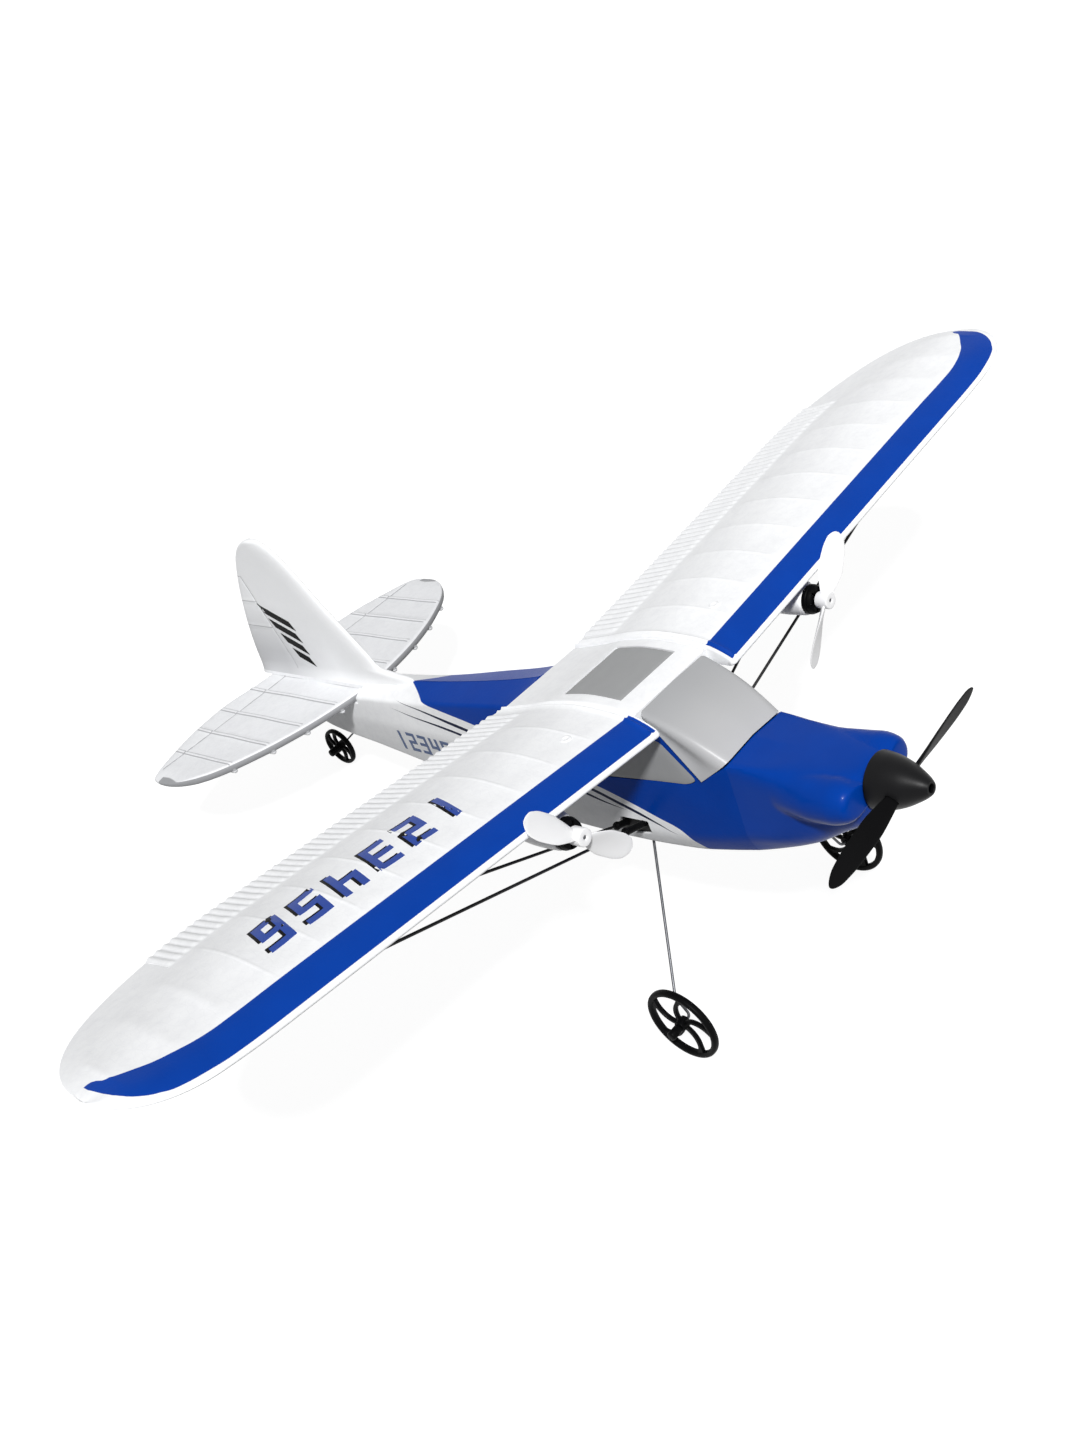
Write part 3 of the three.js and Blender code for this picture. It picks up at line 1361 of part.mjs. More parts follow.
sides.forEach(([sideName, side]) => {
  place(`fuselage_half_${sideName}`, fuselageHalf(side), "foam");
  place(`side_window_${sideName}`, flipped(sideWindow(), side), "glazing");
  place(`wing_panel_${sideName}`, flipped(wingPanel(), side), "foam");
  place(`motor_nacelle_${sideName}`, flipped(nacelle(), side), "white");
  place(`motor_${sideName}`, motorCan(), "silver", [side * motorX, 0, motorAxisZ]);
  place(`motor_cap_${sideName}`, motorCap(), "black", [side * motorX, 0, motorAxisZ]);
  place(`motor_shaft_${sideName}`, motorShaft(), "steel", [side * motorX, 0, motorAxisZ]);
  place(`propeller_${sideName}`, flipped(motorPropeller(), side), "white", [side * motorX, 0, motorAxisZ]);
  place(`motor_lead_${sideName}`, flipped(toSolid(motorLead()), side), "red");
  place(`strut_front_${sideName}`, strut(strutFrontRoot, strutFrontTip, side), "carbon");
  place(`strut_rear_${sideName}`, strut(strutRearRoot, strutRearTip, side), "carbon");
  place(`strut_anchor_front_${sideName}`, strutAnchor(strutFrontRoot, strutFrontTip, side), "black");
  place(`strut_anchor_rear_${sideName}`, strutAnchor(strutRearRoot, strutRearTip, side), "black");
  place(`gear_leg_${sideName}`, gearLeg(side), "steel");
  const onAxle = (x) => [side * x, mainAxle.y, mainAxle.z];
  place(`main_wheel_${sideName}`, flipped(mainWheel(), side), "black", onAxle(mainWheelX));
  const retainerStart = mainWheelX + mainHubWidth / 2 + endFloat;
  const sleeve = retainer(mainRetainerEndX - retainerStart, legRadius + fitGap).mirror([1, 0, 0]);
  const sleeveX = (retainerStart + mainRetainerEndX) / 2;
  place(`main_wheel_retainer_${sideName}`, flipped(sleeve, side), "black", onAxle(sleeveX));
});

// The group is tilted until both main wheels and the tail wheel touch the ground, then centred
function groundAngle() {
  const run = tailWheel.y - mainAxle.y;
  const rise = tailWheel.z - mainAxle.z;
  const reach = Math.hypot(run, rise);
  return Math.atan2(rise, run) + Math.asin((mainWheelRadius - tailWheelRadius) / reach);
}

aircraft.rotation.x = -groundAngle();
aircraft.updateMatrixWorld(true);
const bounds = new THREE.Box3().setFromObject(aircraft, true);
aircraft.position.set(0, -(bounds.min.y + bounds.max.y) / 2, -bounds.min.z);

const group = new THREE.Group();
group.add(aircraft);
group.updateMatrixWorld(true);

export default group;
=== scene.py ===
# A small foam high-wing model aeroplane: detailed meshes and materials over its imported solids.
# Lengths are in millimetres in the aircraft's own axes: X to the left wing, Y aft, Z up, with
# the origin at the top of the windshield. AIR carries them into the frame, in metres.
from functools import reduce
from math import copysign, cos, hypot, pi, radians, sin, sqrt, tan, tau

import bmesh
import bpy
from mathutils import Matrix, Vector


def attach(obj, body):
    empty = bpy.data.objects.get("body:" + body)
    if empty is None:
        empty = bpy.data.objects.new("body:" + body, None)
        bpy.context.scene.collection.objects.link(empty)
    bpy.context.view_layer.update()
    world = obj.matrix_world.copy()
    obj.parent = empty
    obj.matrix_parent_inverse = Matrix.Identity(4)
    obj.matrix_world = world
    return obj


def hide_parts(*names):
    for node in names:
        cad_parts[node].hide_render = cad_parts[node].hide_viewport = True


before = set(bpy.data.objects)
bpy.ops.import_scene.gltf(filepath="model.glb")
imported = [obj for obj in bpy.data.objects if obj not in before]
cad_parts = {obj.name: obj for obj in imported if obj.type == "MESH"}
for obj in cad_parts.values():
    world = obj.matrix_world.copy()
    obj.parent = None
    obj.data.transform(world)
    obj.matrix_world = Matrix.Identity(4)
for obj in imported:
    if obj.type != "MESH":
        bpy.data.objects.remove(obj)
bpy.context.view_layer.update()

MM = 0.001
TILT = radians(12.275434630488283)
SHIFT = Vector((0, -66.67719, 103.77172))
TURN = Matrix.Rotation(-TILT, 4, "X")
AIR = Matrix.Scale(MM, 4) @ Matrix.Translation(SHIFT) @ TURN
SIDES = (("left", 1), ("right", -1))
SHELL_WALL = 1.1


# Curves
def pchip(rows):
    """A smooth curve through rows of (x, y) that never overshoots them."""
    xs, ys = zip(*rows)
    steps = [b - a for a, b in zip(xs, xs[1:])]
    rates = [(b - a) / step for a, b, step in zip(ys, ys[1:], steps)]
    slopes = [rates[0]]
    for i in range(1, len(rates)):
        before, after = rates[i - 1], rates[i]
        if before * after <= 0:
            slopes.append(0.0)
        else:
            heavy, light = 2 * steps[i] + steps[i - 1], steps[i] + 2 * steps[i - 1]
            slopes.append((heavy + light) / (heavy / before + light / after))
    slopes.append(rates[-1])

    def value(x):
        x = min(max(x, xs[0]), xs[-1])
        i = 0
        while i < len(steps) - 1 and x > xs[i + 1]:
            i += 1
        t = (x - xs[i]) / steps[i]
        a = ys[i] * (1 + 2 * t) * (1 - t) ** 2 + ys[i + 1] * t * t * (3 - 2 * t)
        return a + steps[i] * (slopes[i] * t * (1 - t) ** 2 - slopes[i + 1] * t * t * (1 - t))

    return value


def curves(rows):
    """One curve for each column of rows, over their first column."""
    return [pchip([(row[0], row[i]) for row in rows]) for i in range(1, len(rows[0]))]


def spread(start, end, count):
    return [start + (end - start) * i / (count - 1) for i in range(count)]


def bell(distance, width):
    """1 in the middle, falling smoothly to 0 at width."""
    share = min(1.0, abs(distance) / width)
    return (1 - share * share) ** 2


def fillet(before, corner, after, reach, count):
    """Points of a rounded corner, from reach before it to reach after it."""
    corner = Vector(corner)
    start, end = (
        corner + way.normalized() * min(reach, way.length * 0.48)
        for way in (Vector(before) - corner, Vector(after) - corner)
    )
    return [start * (1 - t) ** 2 + corner * (2 * t * (1 - t)) + end * t * t for t in spread(0, 1, count)]


def rounded(outline, reach, count=4):
    """A closed outline with every corner rounded by reach."""
    points = []
    for i, corner in enumerate(outline):
        before, after = outline[i - 1], outline[(i + 1) % len(outline)]
        points += [p[:2] for p in fillet((*before, 0), (*corner, 0), (*after, 0), reach, count)]
    return points


def grown(outline, amount):
    """An outline with its sides moved outward by amount."""
    pairs = [(Vector(a), Vector(b)) for a, b in zip(outline, outline[1:] + outline[:1])]
    way = amount if sum(a.x * b.y - b.x * a.y for a, b in pairs) > 0 else -amount
    lines = [(a + Vector((b.y - a.y, a.x - b.x)).normalized() * way, b - a) for a, b in pairs]
    points = []
    for i, (q, e) in enumerate(lines):
        p, d = lines[i - 1]
        t = ((q.x - p.x) * e.y - (q.y - p.y) * e.x) / (d.x * e.y - d.y * e.x)
        points.append((p.x + d.x * t, p.y + d.y * t))
    return points


# Meshes
def mesh_object(name, points, faces, smooth=35):
    mesh = bpy.data.meshes.new(name)
    mesh.from_pydata([AIR @ Vector(p) for p in points], [], faces)
    settle(mesh, smooth)
    return linked(bpy.data.objects.new(name, mesh))


def linked(made):
    bpy.context.scene.collection.objects.link(made)
    return made


def settle(mesh, smooth=35):
    shape = bmesh.new()
    shape.from_mesh(mesh)
    bmesh.ops.remove_doubles(shape, verts=shape.verts, dist=1e-7)
    bmesh.ops.dissolve_degenerate(shape, edges=shape.edges, dist=1e-7)
    bmesh.ops.recalc_face_normals(shape, faces=shape.faces)
    shape.to_mesh(mesh)
    shape.free()
    mesh.shade_smooth()
    mesh.set_sharp_from_angle(angle=radians(smooth))
    mesh.update()


def skin(rings, caps=True):
    """Points and faces of a skin through rings with equal numbers of points."""
    count = len(rings[0])
    points = [p for ring in rings for p in ring]
    faces = []
    for r in range(len(rings) - 1):
        for i in range(count):
            a, b = r * count + i, r * count + (i + 1) % count
            faces.append((a, b, b + count, a + count))
    if caps:
        faces.append(tuple(range(count)))
        faces.append(tuple(reversed(range((len(rings) - 1) * count, len(rings) * count))))
    return points, faces


def loft(name, rings, smooth=35):
    return mesh_object(name, *skin(rings), smooth)


def circle(count, radius=1):
    return [(cos(tau * i / count) * radius, sin(tau * i / count) * radius) for i in range(count)]


def lathe(name, profile, centre, axis="Y", segments=48, smooth=35):
    """A turned solid; profile is a closed outline of (radius, along) rows."""
    points, faces = [], []
    rows = len(profile)
    for c, s in circle(segments):
        for radius, along in profile:
            spot = (radius * c, along, radius * s) if axis == "Y" else (along, radius * c, radius * s)
            points.append(Vector(spot) + Vector(centre))
    for k in range(segments):
        for i in range(rows):
            j, after = (i + 1) % rows, (k + 1) % segments * rows
            faces.append((k * rows + i, k * rows + j, after + j, after + i))
    return mesh_object(name, points, faces, smooth)


def sleeve(inner, outer, start, end):
    """A turned sleeve's profile; for a plain rod, inner is next to nothing."""
    return [(inner, start), (outer, start), (outer, end), (inner, end)]


def rod(radius, start, end):
    return sleeve(0.0001, radius, start, end)


def tube(name, path, radius, sides=14, ends=0.5):
    """A round rod along path with slightly rounded ends."""
    path = [Vector(p) for p in path]
    last = len(path) - 1
    tangents = [(path[min(last, i + 1)] - path[max(0, i - 1)]).normalized() for i in range(last + 1)]
    across = tangents[0].orthogonal().normalized()
    round_off = ((0, 0.7), (0.4, 0.2))
    rings = []
    for i, (centre, tangent) in enumerate(zip(path, tangents)):
        across = (across - tangent * across.dot(tangent)).normalized()
        up = tangent.cross(across)
        places = [(1 if i == 0 else -1 if i == last else 0, 0)]
        if i == 0:
            places = [*round_off, *places]
        if i == last:
            places += reversed(round_off)
        for step, narrow in places:
            way = -1 if i == last and narrow else 1
            middle = centre + tangent * (radius * ends * step * way)
            reach = radius * (1 - ends * narrow)
            rings.append([middle + across * x + up * y for x, y in circle(sides, reach)])
    return loft(name, rings, 40)


def bake(target, smooth=35):
    bpy.context.view_layer.update()
    graph = bpy.context.evaluated_depsgraph_get()
    old, target_mesh = target.data, bpy.data.meshes.new_from_object(target.evaluated_get(graph))
    target.modifiers.clear()
    target.data = target_mesh
    bpy.data.meshes.remove(old)
    settle(target_mesh, smooth)
    return target


def combine(target, tools, operation="DIFFERENCE", smooth=35):
    for tool in tools:
        change = target.modifiers.new("cut", "BOOLEAN")
        change.operation = operation
        change.solver = "EXACT"
        change.object = tool
    bake(target, smooth)
    for tool in tools:
        bpy.data.objects.remove(tool, do_unlink=True)
    return target


def shelled(name, points, faces, smooth):
    """A skin that is given a thin wall on its inner side."""
    made = mesh_object(name, points, faces, smooth)
    shell = made.modifiers.new("shell", "SOLIDIFY")
    shell.thickness = SHELL_WALL * MM
    shell.offset = -1
    return bake(made, smooth)


def prism(name, outline, start, end):
    """A block along X with the outline of its cross-section."""
    return loft(name, [[(x, y, z) for y, z in outline] for x in (start, end)])


def block(name, x0, x1, y0, y1, z0, z1):
    plan = ((x0, y0), (x1, y0), (x1, y1), (x0, y1))
    return loft(name, [[(x, y, z) for x, y in plan] for z in (z0, z1)])


def mirrored(points, side):
    return [(side * p[0], p[1], p[2]) for p in points]


# Tail sizes
TAIL_Z, TAIL_T, TAIL_Y, TAIL_L, TAIL_HALF = -20.5, 3.2, 158.6, 64.4, 72.0
tail_front, tail_rear = (pchip([(sqrt(1 - x), y) for x, y in reversed(rows)]) for rows in (
    ((0, 0), (0.15, 0.024), (0.34, 0.07), (0.52, 0.14), (0.7, 0.24), (0.86, 0.365), (0.955, 0.5), (1, 0.68)),
    ((0, 0.945), (0.15, 0.96), (0.36, 0.995), (0.6, 0.965), (0.78, 0.9), (0.92, 0.835), (0.985, 0.79),
     (1, 0.69)),
))
TAIL_RIBS = ((0.193, 0.085, 0.955), (0.397, 0.145, 0.975), (0.58, 0.215, 0.945), (0.767, 0.315, 0.885))
TAIL_HINGE_Y = 209.6
FIN_Y, FIN_L, FIN_H, FIN_Z, FIN_T = 129.5, 97.8, 60.4, -18.9, 3.2
fin_front = pchip([(0.0, 0.0), (0.083, 0.0), (0.104, 0.083), (0.131, 0.176), (0.229, 0.221), (0.379, 0.286),
                   (0.565, 0.369), (0.75, 0.441), (0.884, 0.503), (0.967, 0.562), (0.992, 0.595), (1.0, 0.62)])
fin_rear = pchip([(0.0, 1.0), (0.16, 0.985), (0.36, 0.95), (0.56, 0.9), (0.745, 0.84), (0.907, 0.768),
                  (0.985, 0.69), (0.996, 0.66), (1.0, 0.63)])
FIN_HINGE_Y, FIN_HINGE_LEAN = 203.4, 0.2235
FIN_RIB_LEVELS = (0.36, 0.55, 0.735)


# Materials
class Finish:
    """A procedural material; its nodes are added by short calls."""

    def __init__(self, name, **sockets):
        self.material = bpy.data.materials.new(name)
        self.material.use_nodes = True
        self.tree = self.material.node_tree
        self.shader = self.tree.nodes["Principled BSDF"]
        for label, value in sockets.items():
            self.shader.inputs[label.replace("_", " ")].default_value = value
        self.spot = self.node("ShaderNodeMapping", {
            "Vector": self.node("ShaderNodeTexCoord").outputs["Object"], "Rotation": (TILT, 0, 0),
            "Location": -(TURN.inverted() @ SHIFT), "Scale": (1 / MM, 1 / MM, 1 / MM),
        }).outputs["Vector"]

    def node(self, kind, inputs=(), **settings):
        made = self.tree.nodes.new(kind)
        for label, value in settings.items():
            setattr(made, label, value)
        for key, value in dict(inputs).items():
            self.feed(made.inputs[key], value)
        return made

    def feed(self, socket, value):
        if isinstance(value, bpy.types.NodeSocket):
            self.tree.links.new(value, socket)
        else:
            socket.default_value = value

    def axes(self):
        """X, Y and Z of the point in the aircraft's own axes, in millimetres."""
        return self.node("ShaderNodeSeparateXYZ", {0: self.spot}).outputs[:3]

    def stretched(self, scale):
        if scale is None:
            return self.spot
        return self.node("ShaderNodeVectorMath", {0: self.spot, 1: scale}, operation="MULTIPLY").outputs[0]

    def calc(self, operation, *values, clamp=False):
        inputs = dict(enumerate(values))
        return self.node("ShaderNodeMath", inputs, operation=operation, use_clamp=clamp).outputs[0]

    def times(self, a, b, clamp=False):
        return self.calc("MULTIPLY", a, b, clamp=clamp)

    def add(self, a, b):
        return self.calc("ADD", a, b)

    def blend(self, a, share, b, clamp=False):
        """a times share, plus b."""
        return self.calc("MULTIPLY_ADD", a, share, b, clamp=clamp)

    def ramp(self, value, start, rate):
        """0 at start and rising by rate, within 0 to 1."""
        return self.times(self.calc("SUBTRACT", value, start), rate, True)

    def off(self, value, centre):
        return self.calc("ABSOLUTE", self.calc("SUBTRACT", value, centre))

    def curve(self, value, rows, low, high, floor, ceiling):
        """A curve through rows, for value from low to high and results from floor to ceiling."""
        share = self.calc("DIVIDE", self.calc("SUBTRACT", value, low), high - low, clamp=True)
        made = self.node("ShaderNodeFloatCurve", {"Value": share})
        line = made.mapping.curves[0]
        places = [((x - low) / (high - low), (y - floor) / (ceiling - floor)) for x, y in rows]
        line.points[0].location = places[0]
        line.points[1].location = places[-1]
        for spot in places[1:-1]:
            line.points.new(*spot)
        for point in line.points:
            point.handle_type = "AUTO_CLAMPED"
        made.mapping.update()
        return self.blend(made.outputs[0], ceiling - floor, floor)

    def above(self, value, limit, soft=0.12):
        """1 where value is above limit, with an edge soft millimetres wide."""
        over = self.calc("DIVIDE", self.calc("SUBTRACT", value, limit), soft)
        return self.calc("ADD", over, 0.5, clamp=True)

    def inside(self, value, low, high):
        return self.times(self.above(value, low), self.above(high, value))

    def both(self, *masks):
        return reduce(self.times, masks)

    def mix(self, share, a, b):
        return self.node("ShaderNodeMix", {0: share, 6: a, 7: b}, data_type="RGBA").outputs[2]

    def noise(self, scale, detail=3.0, roughness=0.55, stretch=None):
        return self.node("ShaderNodeTexNoise", {
            "Vector": self.stretched(stretch), "Scale": scale, "Detail": detail, "Roughness": roughness,
        }).outputs["Fac"]

    def cells(self, scale, feature="F1", stretch=None):
        inputs = {"Vector": self.stretched(stretch), "Scale": scale}
        return self.node("ShaderNodeTexVoronoi", inputs, feature=feature).outputs["Distance"]

    def span(self, value, low, high):
        """value from 0..1 mapped to low..high."""
        return self.node("ShaderNodeMapRange", {"Value": value, "To Min": low, "To Max": high}).outputs[0]

    def bump(self, height, distance, strength=0.5):
        inputs = {"Height": height, "Distance": distance * MM, "Strength": strength}
        self.feed(self.shader.inputs["Normal"], self.node("ShaderNodeBump", inputs).outputs[0])

    def rough(self, value, low, high):
        self.feed(self.shader.inputs["Roughness"], self.span(value, low, high))

    def tone(self, share, a, b):
        """Sets the colour, mixed from a and b, and gives the finished material."""
        self.feed(self.shader.inputs["Base Color"], self.mix(share, a, b))
        return self.material


def rgb(*values):
    """A colour from screen values of 0 to 255."""
    def linear(v):
        v /= 255
        return v / 12.92 if v <= 0.04045 else ((v + 0.055) / 1.055) ** 2.4
    return (*map(linear, values), 1.0)


FOAM_WHITE = rgb(250, 251, 252)
FOAM_SHADE = rgb(233, 234, 237)
TAIL_WHITE = rgb(232, 233, 235)
TAIL_SHADE = rgb(214, 215, 218)
PIN_DARK = rgb(18, 26, 52)
FLOW = (0.5, 1.0, 0.25)


def foam_ground(mat, light=FOAM_WHITE, dark=FOAM_SHADE, lines=None):
    """Moulded foam: soft bead marks, faint mottling, an uneven skin and any moulded lines, which are drawn
    darker as painted shade.
    """
    seam = mat.calc("SUBTRACT", 1.0, mat.times(mat.cells(0.42, "DISTANCE_TO_EDGE"), 9.0, True))
    cloud = mat.noise(0.055, 4.0, 0.6)
    mat.fine = mat.noise(1.6, 3.0, 0.6)
    mat.rough(mat.fine, 0.42, 0.58)
    relief = mat.add(mat.blend(seam, -0.35, mat.times(mat.fine, 0.3)), mat.times(cloud, 1.5))
    marble = mat.ramp(mat.noise(0.34, 4.0, 0.62), 0.42, 2.6)
    shade = mat.blend(marble, 0.42, mat.blend(seam, 0.12, mat.times(cloud, 0.45)), True)
    ground = mat.mix(shade, light, dark)
    if lines is not None:
        relief = mat.blend(lines, -3.0, relief)
        # Painted shade: the moulded lines are darkened toward grey.
        ground = mat.mix(mat.times(lines, 0.75), ground, rgb(140, 141, 144))
    mat.bump(relief, 0.05, 0.55)
    return ground


def blue(mat):
    return mat.span(mat.noise(0.09, 3.0, 0.5), 0.0, 0.8), rgb(2, 62, 160), rgb(0, 52, 142)


def foam():
    mat = Finish("foam_white", Specular_IOR_Level=0.25)
    return mat.tone(0.0, foam_ground(mat), FOAM_WHITE)


def tail_foam():
    """The tail surfaces' foam, with the thin moulded lines of the hinges and ribs drawn darker as painted
    shade, the fin drawn lighter as painted light, and painted shade on the fin's lower rear and the
    tailplane's front rim.
    """
    mat = Finish("foam_tail", Specular_IOR_Level=0.2)
    x, y, z = mat.axes()
    out = mat.calc("ABSOLUTE", x)

    def line(value, centre, half):
        return mat.above(half, mat.off(value, centre), 0.25)

    flat = mat.both(mat.above(-18.2, z), mat.above(out, 3.4))
    marks = [mat.both(flat, line(y, TAIL_HINGE_Y, 0.26), mat.above(66.0, out))]
    for share, start, end in TAIL_RIBS:
        reach = mat.inside(y, TAIL_Y + start * TAIL_L - 1.0, TAIL_Y + end * TAIL_L)
        for offset in (-0.72, 0.72):
            marks.append(mat.both(flat, reach, line(out, share * TAIL_HALF + offset, 0.16)))
    upright = mat.both(mat.above(z, -17.6), mat.above(2.6, out))
    hinge = mat.blend(z, FIN_HINGE_LEAN, FIN_HINGE_Y)
    low, high = FIN_Z + 0.06 * FIN_H, FIN_Z + FIN_RIB_LEVELS[-1] * FIN_H
    marks.append(mat.both(upright, line(y, hinge, 0.22), mat.inside(z, low, high)))
    for level in FIN_RIB_LEVELS:
        marks.append(mat.both(upright, mat.above(y, hinge), line(z, FIN_Z + level * FIN_H, 0.2)))
    lines = reduce(lambda a, b: mat.calc("MAXIMUM", a, b), marks)
    tone = foam_ground(mat, TAIL_WHITE, TAIL_SHADE, lines)
    # Painted light: the fin is drawn lighter than the tailplane, for its lit upright sides.
    on_fin = mat.above(z, -17.9)
    # Painted shade: the fin's lower rear is drawn darker grey.
    painted_fin_shade = mat.both(mat.ramp(y, 172.0, 0.03), mat.ramp(z, 14.0, -0.045), on_fin)
    # Painted shade: the lower half of the tailplane's rim ahead of the hinge line is drawn dark grey.
    edge = mat.both(mat.above(-19.45, z, 0.06), mat.above(z, -21.8), mat.above(205.0, y))
    for mask, share, colour in (
        (on_fin, 0.75, FOAM_WHITE), (painted_fin_shade, 0.75, rgb(178, 179, 182)), (edge, 0.85, rgb(132, 133, 136)),
    ):
        tone = mat.mix(mat.times(mask, share), tone, colour)
    # Painted shade: the hinge and rib lines are darkened once more toward grey.
    return mat.tone(mat.times(lines, 0.5), tone, rgb(150, 151, 154))


def wing_foam():
    """White foam with the blue band along the upper leading edge."""
    mat = Finish("foam_wing", Specular_IOR_Level=0.12)
    x, y = mat.axes()[:2]
    out = mat.calc("ABSOLUTE", x)
    aft, front = (mat.curve(out, rows, 0, 200, -12, 18) for rows in (
        ((0, 1.2), (60, 1.2), (120, 1.2), (168, 1.25), (174, 1.8), (180.4, 3.4), (187.7, 7.3),
         (193.5, 11.3), (197.2, 15.5), (200, 15.6)),
        ((0, -7.7), (60, -7.7), (120, -7.7), (170, -7.7), (178, -7.3), (184, -6.3), (188.5, -4.2),
         (192, -1.2), (194.6, 3.0), (196.2, 8.0), (196.9, 12.0), (197.2, 15.5), (200, 15.6)),
    ))
    band = mat.both(mat.inside(y, front, aft), mat.inside(out, 18.7, 197.2))
    return mat.tone(band, foam_ground(mat), mat.mix(*blue(mat)))


def body_foam():
    """White foam with the blue upper part and two thin dark lines below it on each side."""
    mat = Finish("foam_body", Specular_IOR_Level=0.03)
    ground = foam_ground(mat)
    x, y, z = mat.axes()
    edge, upper, lower = (mat.curve(y, rows, -30, 150, -60, 0) for rows in (
        ((-30, -60), (-12, -57), (-8.4, -53), (-2.9, -47.3), (1.5, -42.4), (9.6, -39.2), (19.7, -35.3),
         (31.7, -31.4), (58, -25.2), (85.4, -19.9), (105.9, -17.3), (130.1, -14.4), (150, -12.2)),
        ((-30, -50), (3.1, -44.9), (9.6, -42.3), (16.7, -39.5), (24.1, -36.9), (35.2, -33.3), (60, -28.3),
         (90.8, -23.0), (105, -21.1), (118.7, -19.2), (132.7, -17.5), (150, -15.5)),
        ((-30, -50), (23.2, -38.9), (31, -37.5), (38.5, -35.7), (66, -30.4), (96.3, -25.4), (109.5, -24.0),
         (126.4, -22.5), (137.5, -20.8), (150, -19.5)),
    ))
    deck = mat.both(mat.above(z, edge), mat.above(137.0, y))
    lines = []
    for line, start, end, wide in ((upper, 3.0, 133.0, 0.66), (lower, 22.0, 138.0, 0.5)):
        thin = mat.times(mat.ramp(y, end, -0.03), mat.ramp(y, start, 0.07))
        near = mat.above(mat.times(thin, wide), mat.off(z, line))
        lines.append(mat.both(near, mat.above(thin, 0.02, 0.05)))
    tone = mat.mix(deck, ground, mat.mix(*blue(mat)))
    tone = mat.mix(mat.both(mat.above(z, -6.0), mat.above(0.5, y)), tone, rgb(168, 169, 171))
    skin_rough = mat.span(mat.fine, 0.42, 0.58)
    mat.rough(mat.blend(deck, -0.16, skin_rough), 0.0, 1.0)
    on_side = mat.above(mat.calc("ABSOLUTE", x), 4.0)
    return mat.tone(mat.both(mat.calc("MAXIMUM", *lines), on_side), tone, PIN_DARK)


def blue_gloss():
    """The body's blue paint on a glossy moulded shell."""
    mat = Finish("cowl_blue", Specular_IOR_Level=0.05, Coat_Weight=0.04, Coat_Roughness=0.1)
    mat.rough(mat.noise(3.0, 4.0, 0.7), 0.26, 0.42)
    mat.bump(mat.blend(mat.noise(0.35, 2.0), 1.0, mat.times(mat.noise(0.05, 3.0), 2.5)), 0.05, 0.35)
    return mat.tone(*blue(mat))


def moulded(name, low, high, relief, scale, **sockets):
    """Fine grain, flow marks and an uneven sheen."""
    mat = Finish(name, **sockets)
    grain, flow = mat.noise(scale, 4.0, 0.65), mat.noise(0.16, 3.0, stretch=FLOW)
    mat.rough(grain, low, high)
    mat.bump(mat.blend(grain, 0.6, flow), relief, 0.6)
    return mat, grain, flow


def glazing():
    """The windshield's grey film, drawn a little lighter toward its foot as painted light."""
    mat, _, flow = moulded("glazing_grey", 0.28, 0.38, 0.015, 2.4, Specular_IOR_Level=0.2)
    y = mat.axes()[1]
    # Painted light and shade: the film is lighter toward its foot and darker toward its top.
    film = mat.mix(mat.ramp(y, -2.0, -0.045), rgb(160, 161, 163), rgb(186, 186, 187))
    return mat.tone(mat.times(flow, 0.5), film, rgb(168, 169, 171))


def plastic(name, light, dark, low, high, relief=0.02, scale=1.4, **sockets):
    mat, grain, flow = moulded(name, low, high, relief, scale, **sockets)
    return mat.tone(mat.blend(flow, 0.8, mat.times(grain, 0.3), True), rgb(*light), rgb(*dark))


def metal(name, light, dark, low, high, brushed=(4.0, 0.3, 4.0)):
    """Drawn metal: fine scratches along its length and dull patches."""
    mat = Finish(name, Metallic=1.0)
    lines = mat.noise(2.2, 4.0, 0.7, brushed)
    mat.rough(lines, low, high)
    mat.bump(lines, 0.01)
    return mat.tone(mat.blend(lines, 0.4, mat.noise(0.22), True), rgb(*light), rgb(*dark))


def carbon():
    """Pultruded rod: long fibres under a thin clear skin."""
    mat = Finish("carbon_rod", Specular_IOR_Level=0.2, Coat_Weight=0.05, Coat_Roughness=0.2)
    fibres = mat.noise(1.4, 4.0, 0.7, (0.15, 5.0, 5.0))
    mat.rough(fibres, 0.34, 0.55)
    mat.bump(fibres, 0.012)
    return mat.tone(fibres, rgb(14, 14, 15), rgb(26, 26, 28))


def battery_wrap():
    """Silver film with creases drawn darker as painted shade, and a band of yellow tape at its rear end."""
    mat = Finish("battery_wrap", Metallic=0.55)
    y = mat.axes()[1]
    folds = mat.times(mat.cells(0.3, "DISTANCE_TO_EDGE", (1.0, 0.35, 1.0)), 4.0, True)
    fine = mat.noise(0.9, 4.0)
    mat.rough(fine, 0.22, 0.42)
    mat.bump(mat.add(folds, mat.times(fine, 0.4)), 0.12)
    # Painted shade: the film is drawn darker along its creases.
    film = mat.mix(folds, rgb(150, 153, 160), rgb(196, 199, 205))
    return mat.tone(mat.above(y, 8.2, 0.3), film, rgb(206, 158, 52))


def circuit_board():
    """Green board with copper tracks and bright pads."""
    mat = Finish("circuit_board")
    x = mat.axes()[0]
    tracks = mat.above(0.2, mat.calc("PINGPONG", mat.add(x, mat.noise(0.12, 1.0)), 0.9), 0.08)
    pads = mat.above(0.28, mat.cells(0.62), 0.05)
    blank = mat.above(mat.noise(0.16, 0.0), 0.48, 0.02)
    mat.rough(mat.noise(2.0), 0.28, 0.46)
    mat.bump(mat.calc("MAXIMUM", tracks, pads), 0.05)
    board = mat.mix(mat.both(tracks, blank), rgb(20, 74, 44), rgb(42, 118, 66))
    return mat.tone(mat.both(pads, blank), board, rgb(202, 196, 170))


def insulation(name, light, dark):
    mat = Finish(name)
    grain = mat.noise(1.8, 4.0)
    mat.rough(grain, 0.34, 0.52)
    mat.bump(grain, 0.02)
    return mat.tone(mat.noise(0.3), rgb(*light), rgb(*dark))


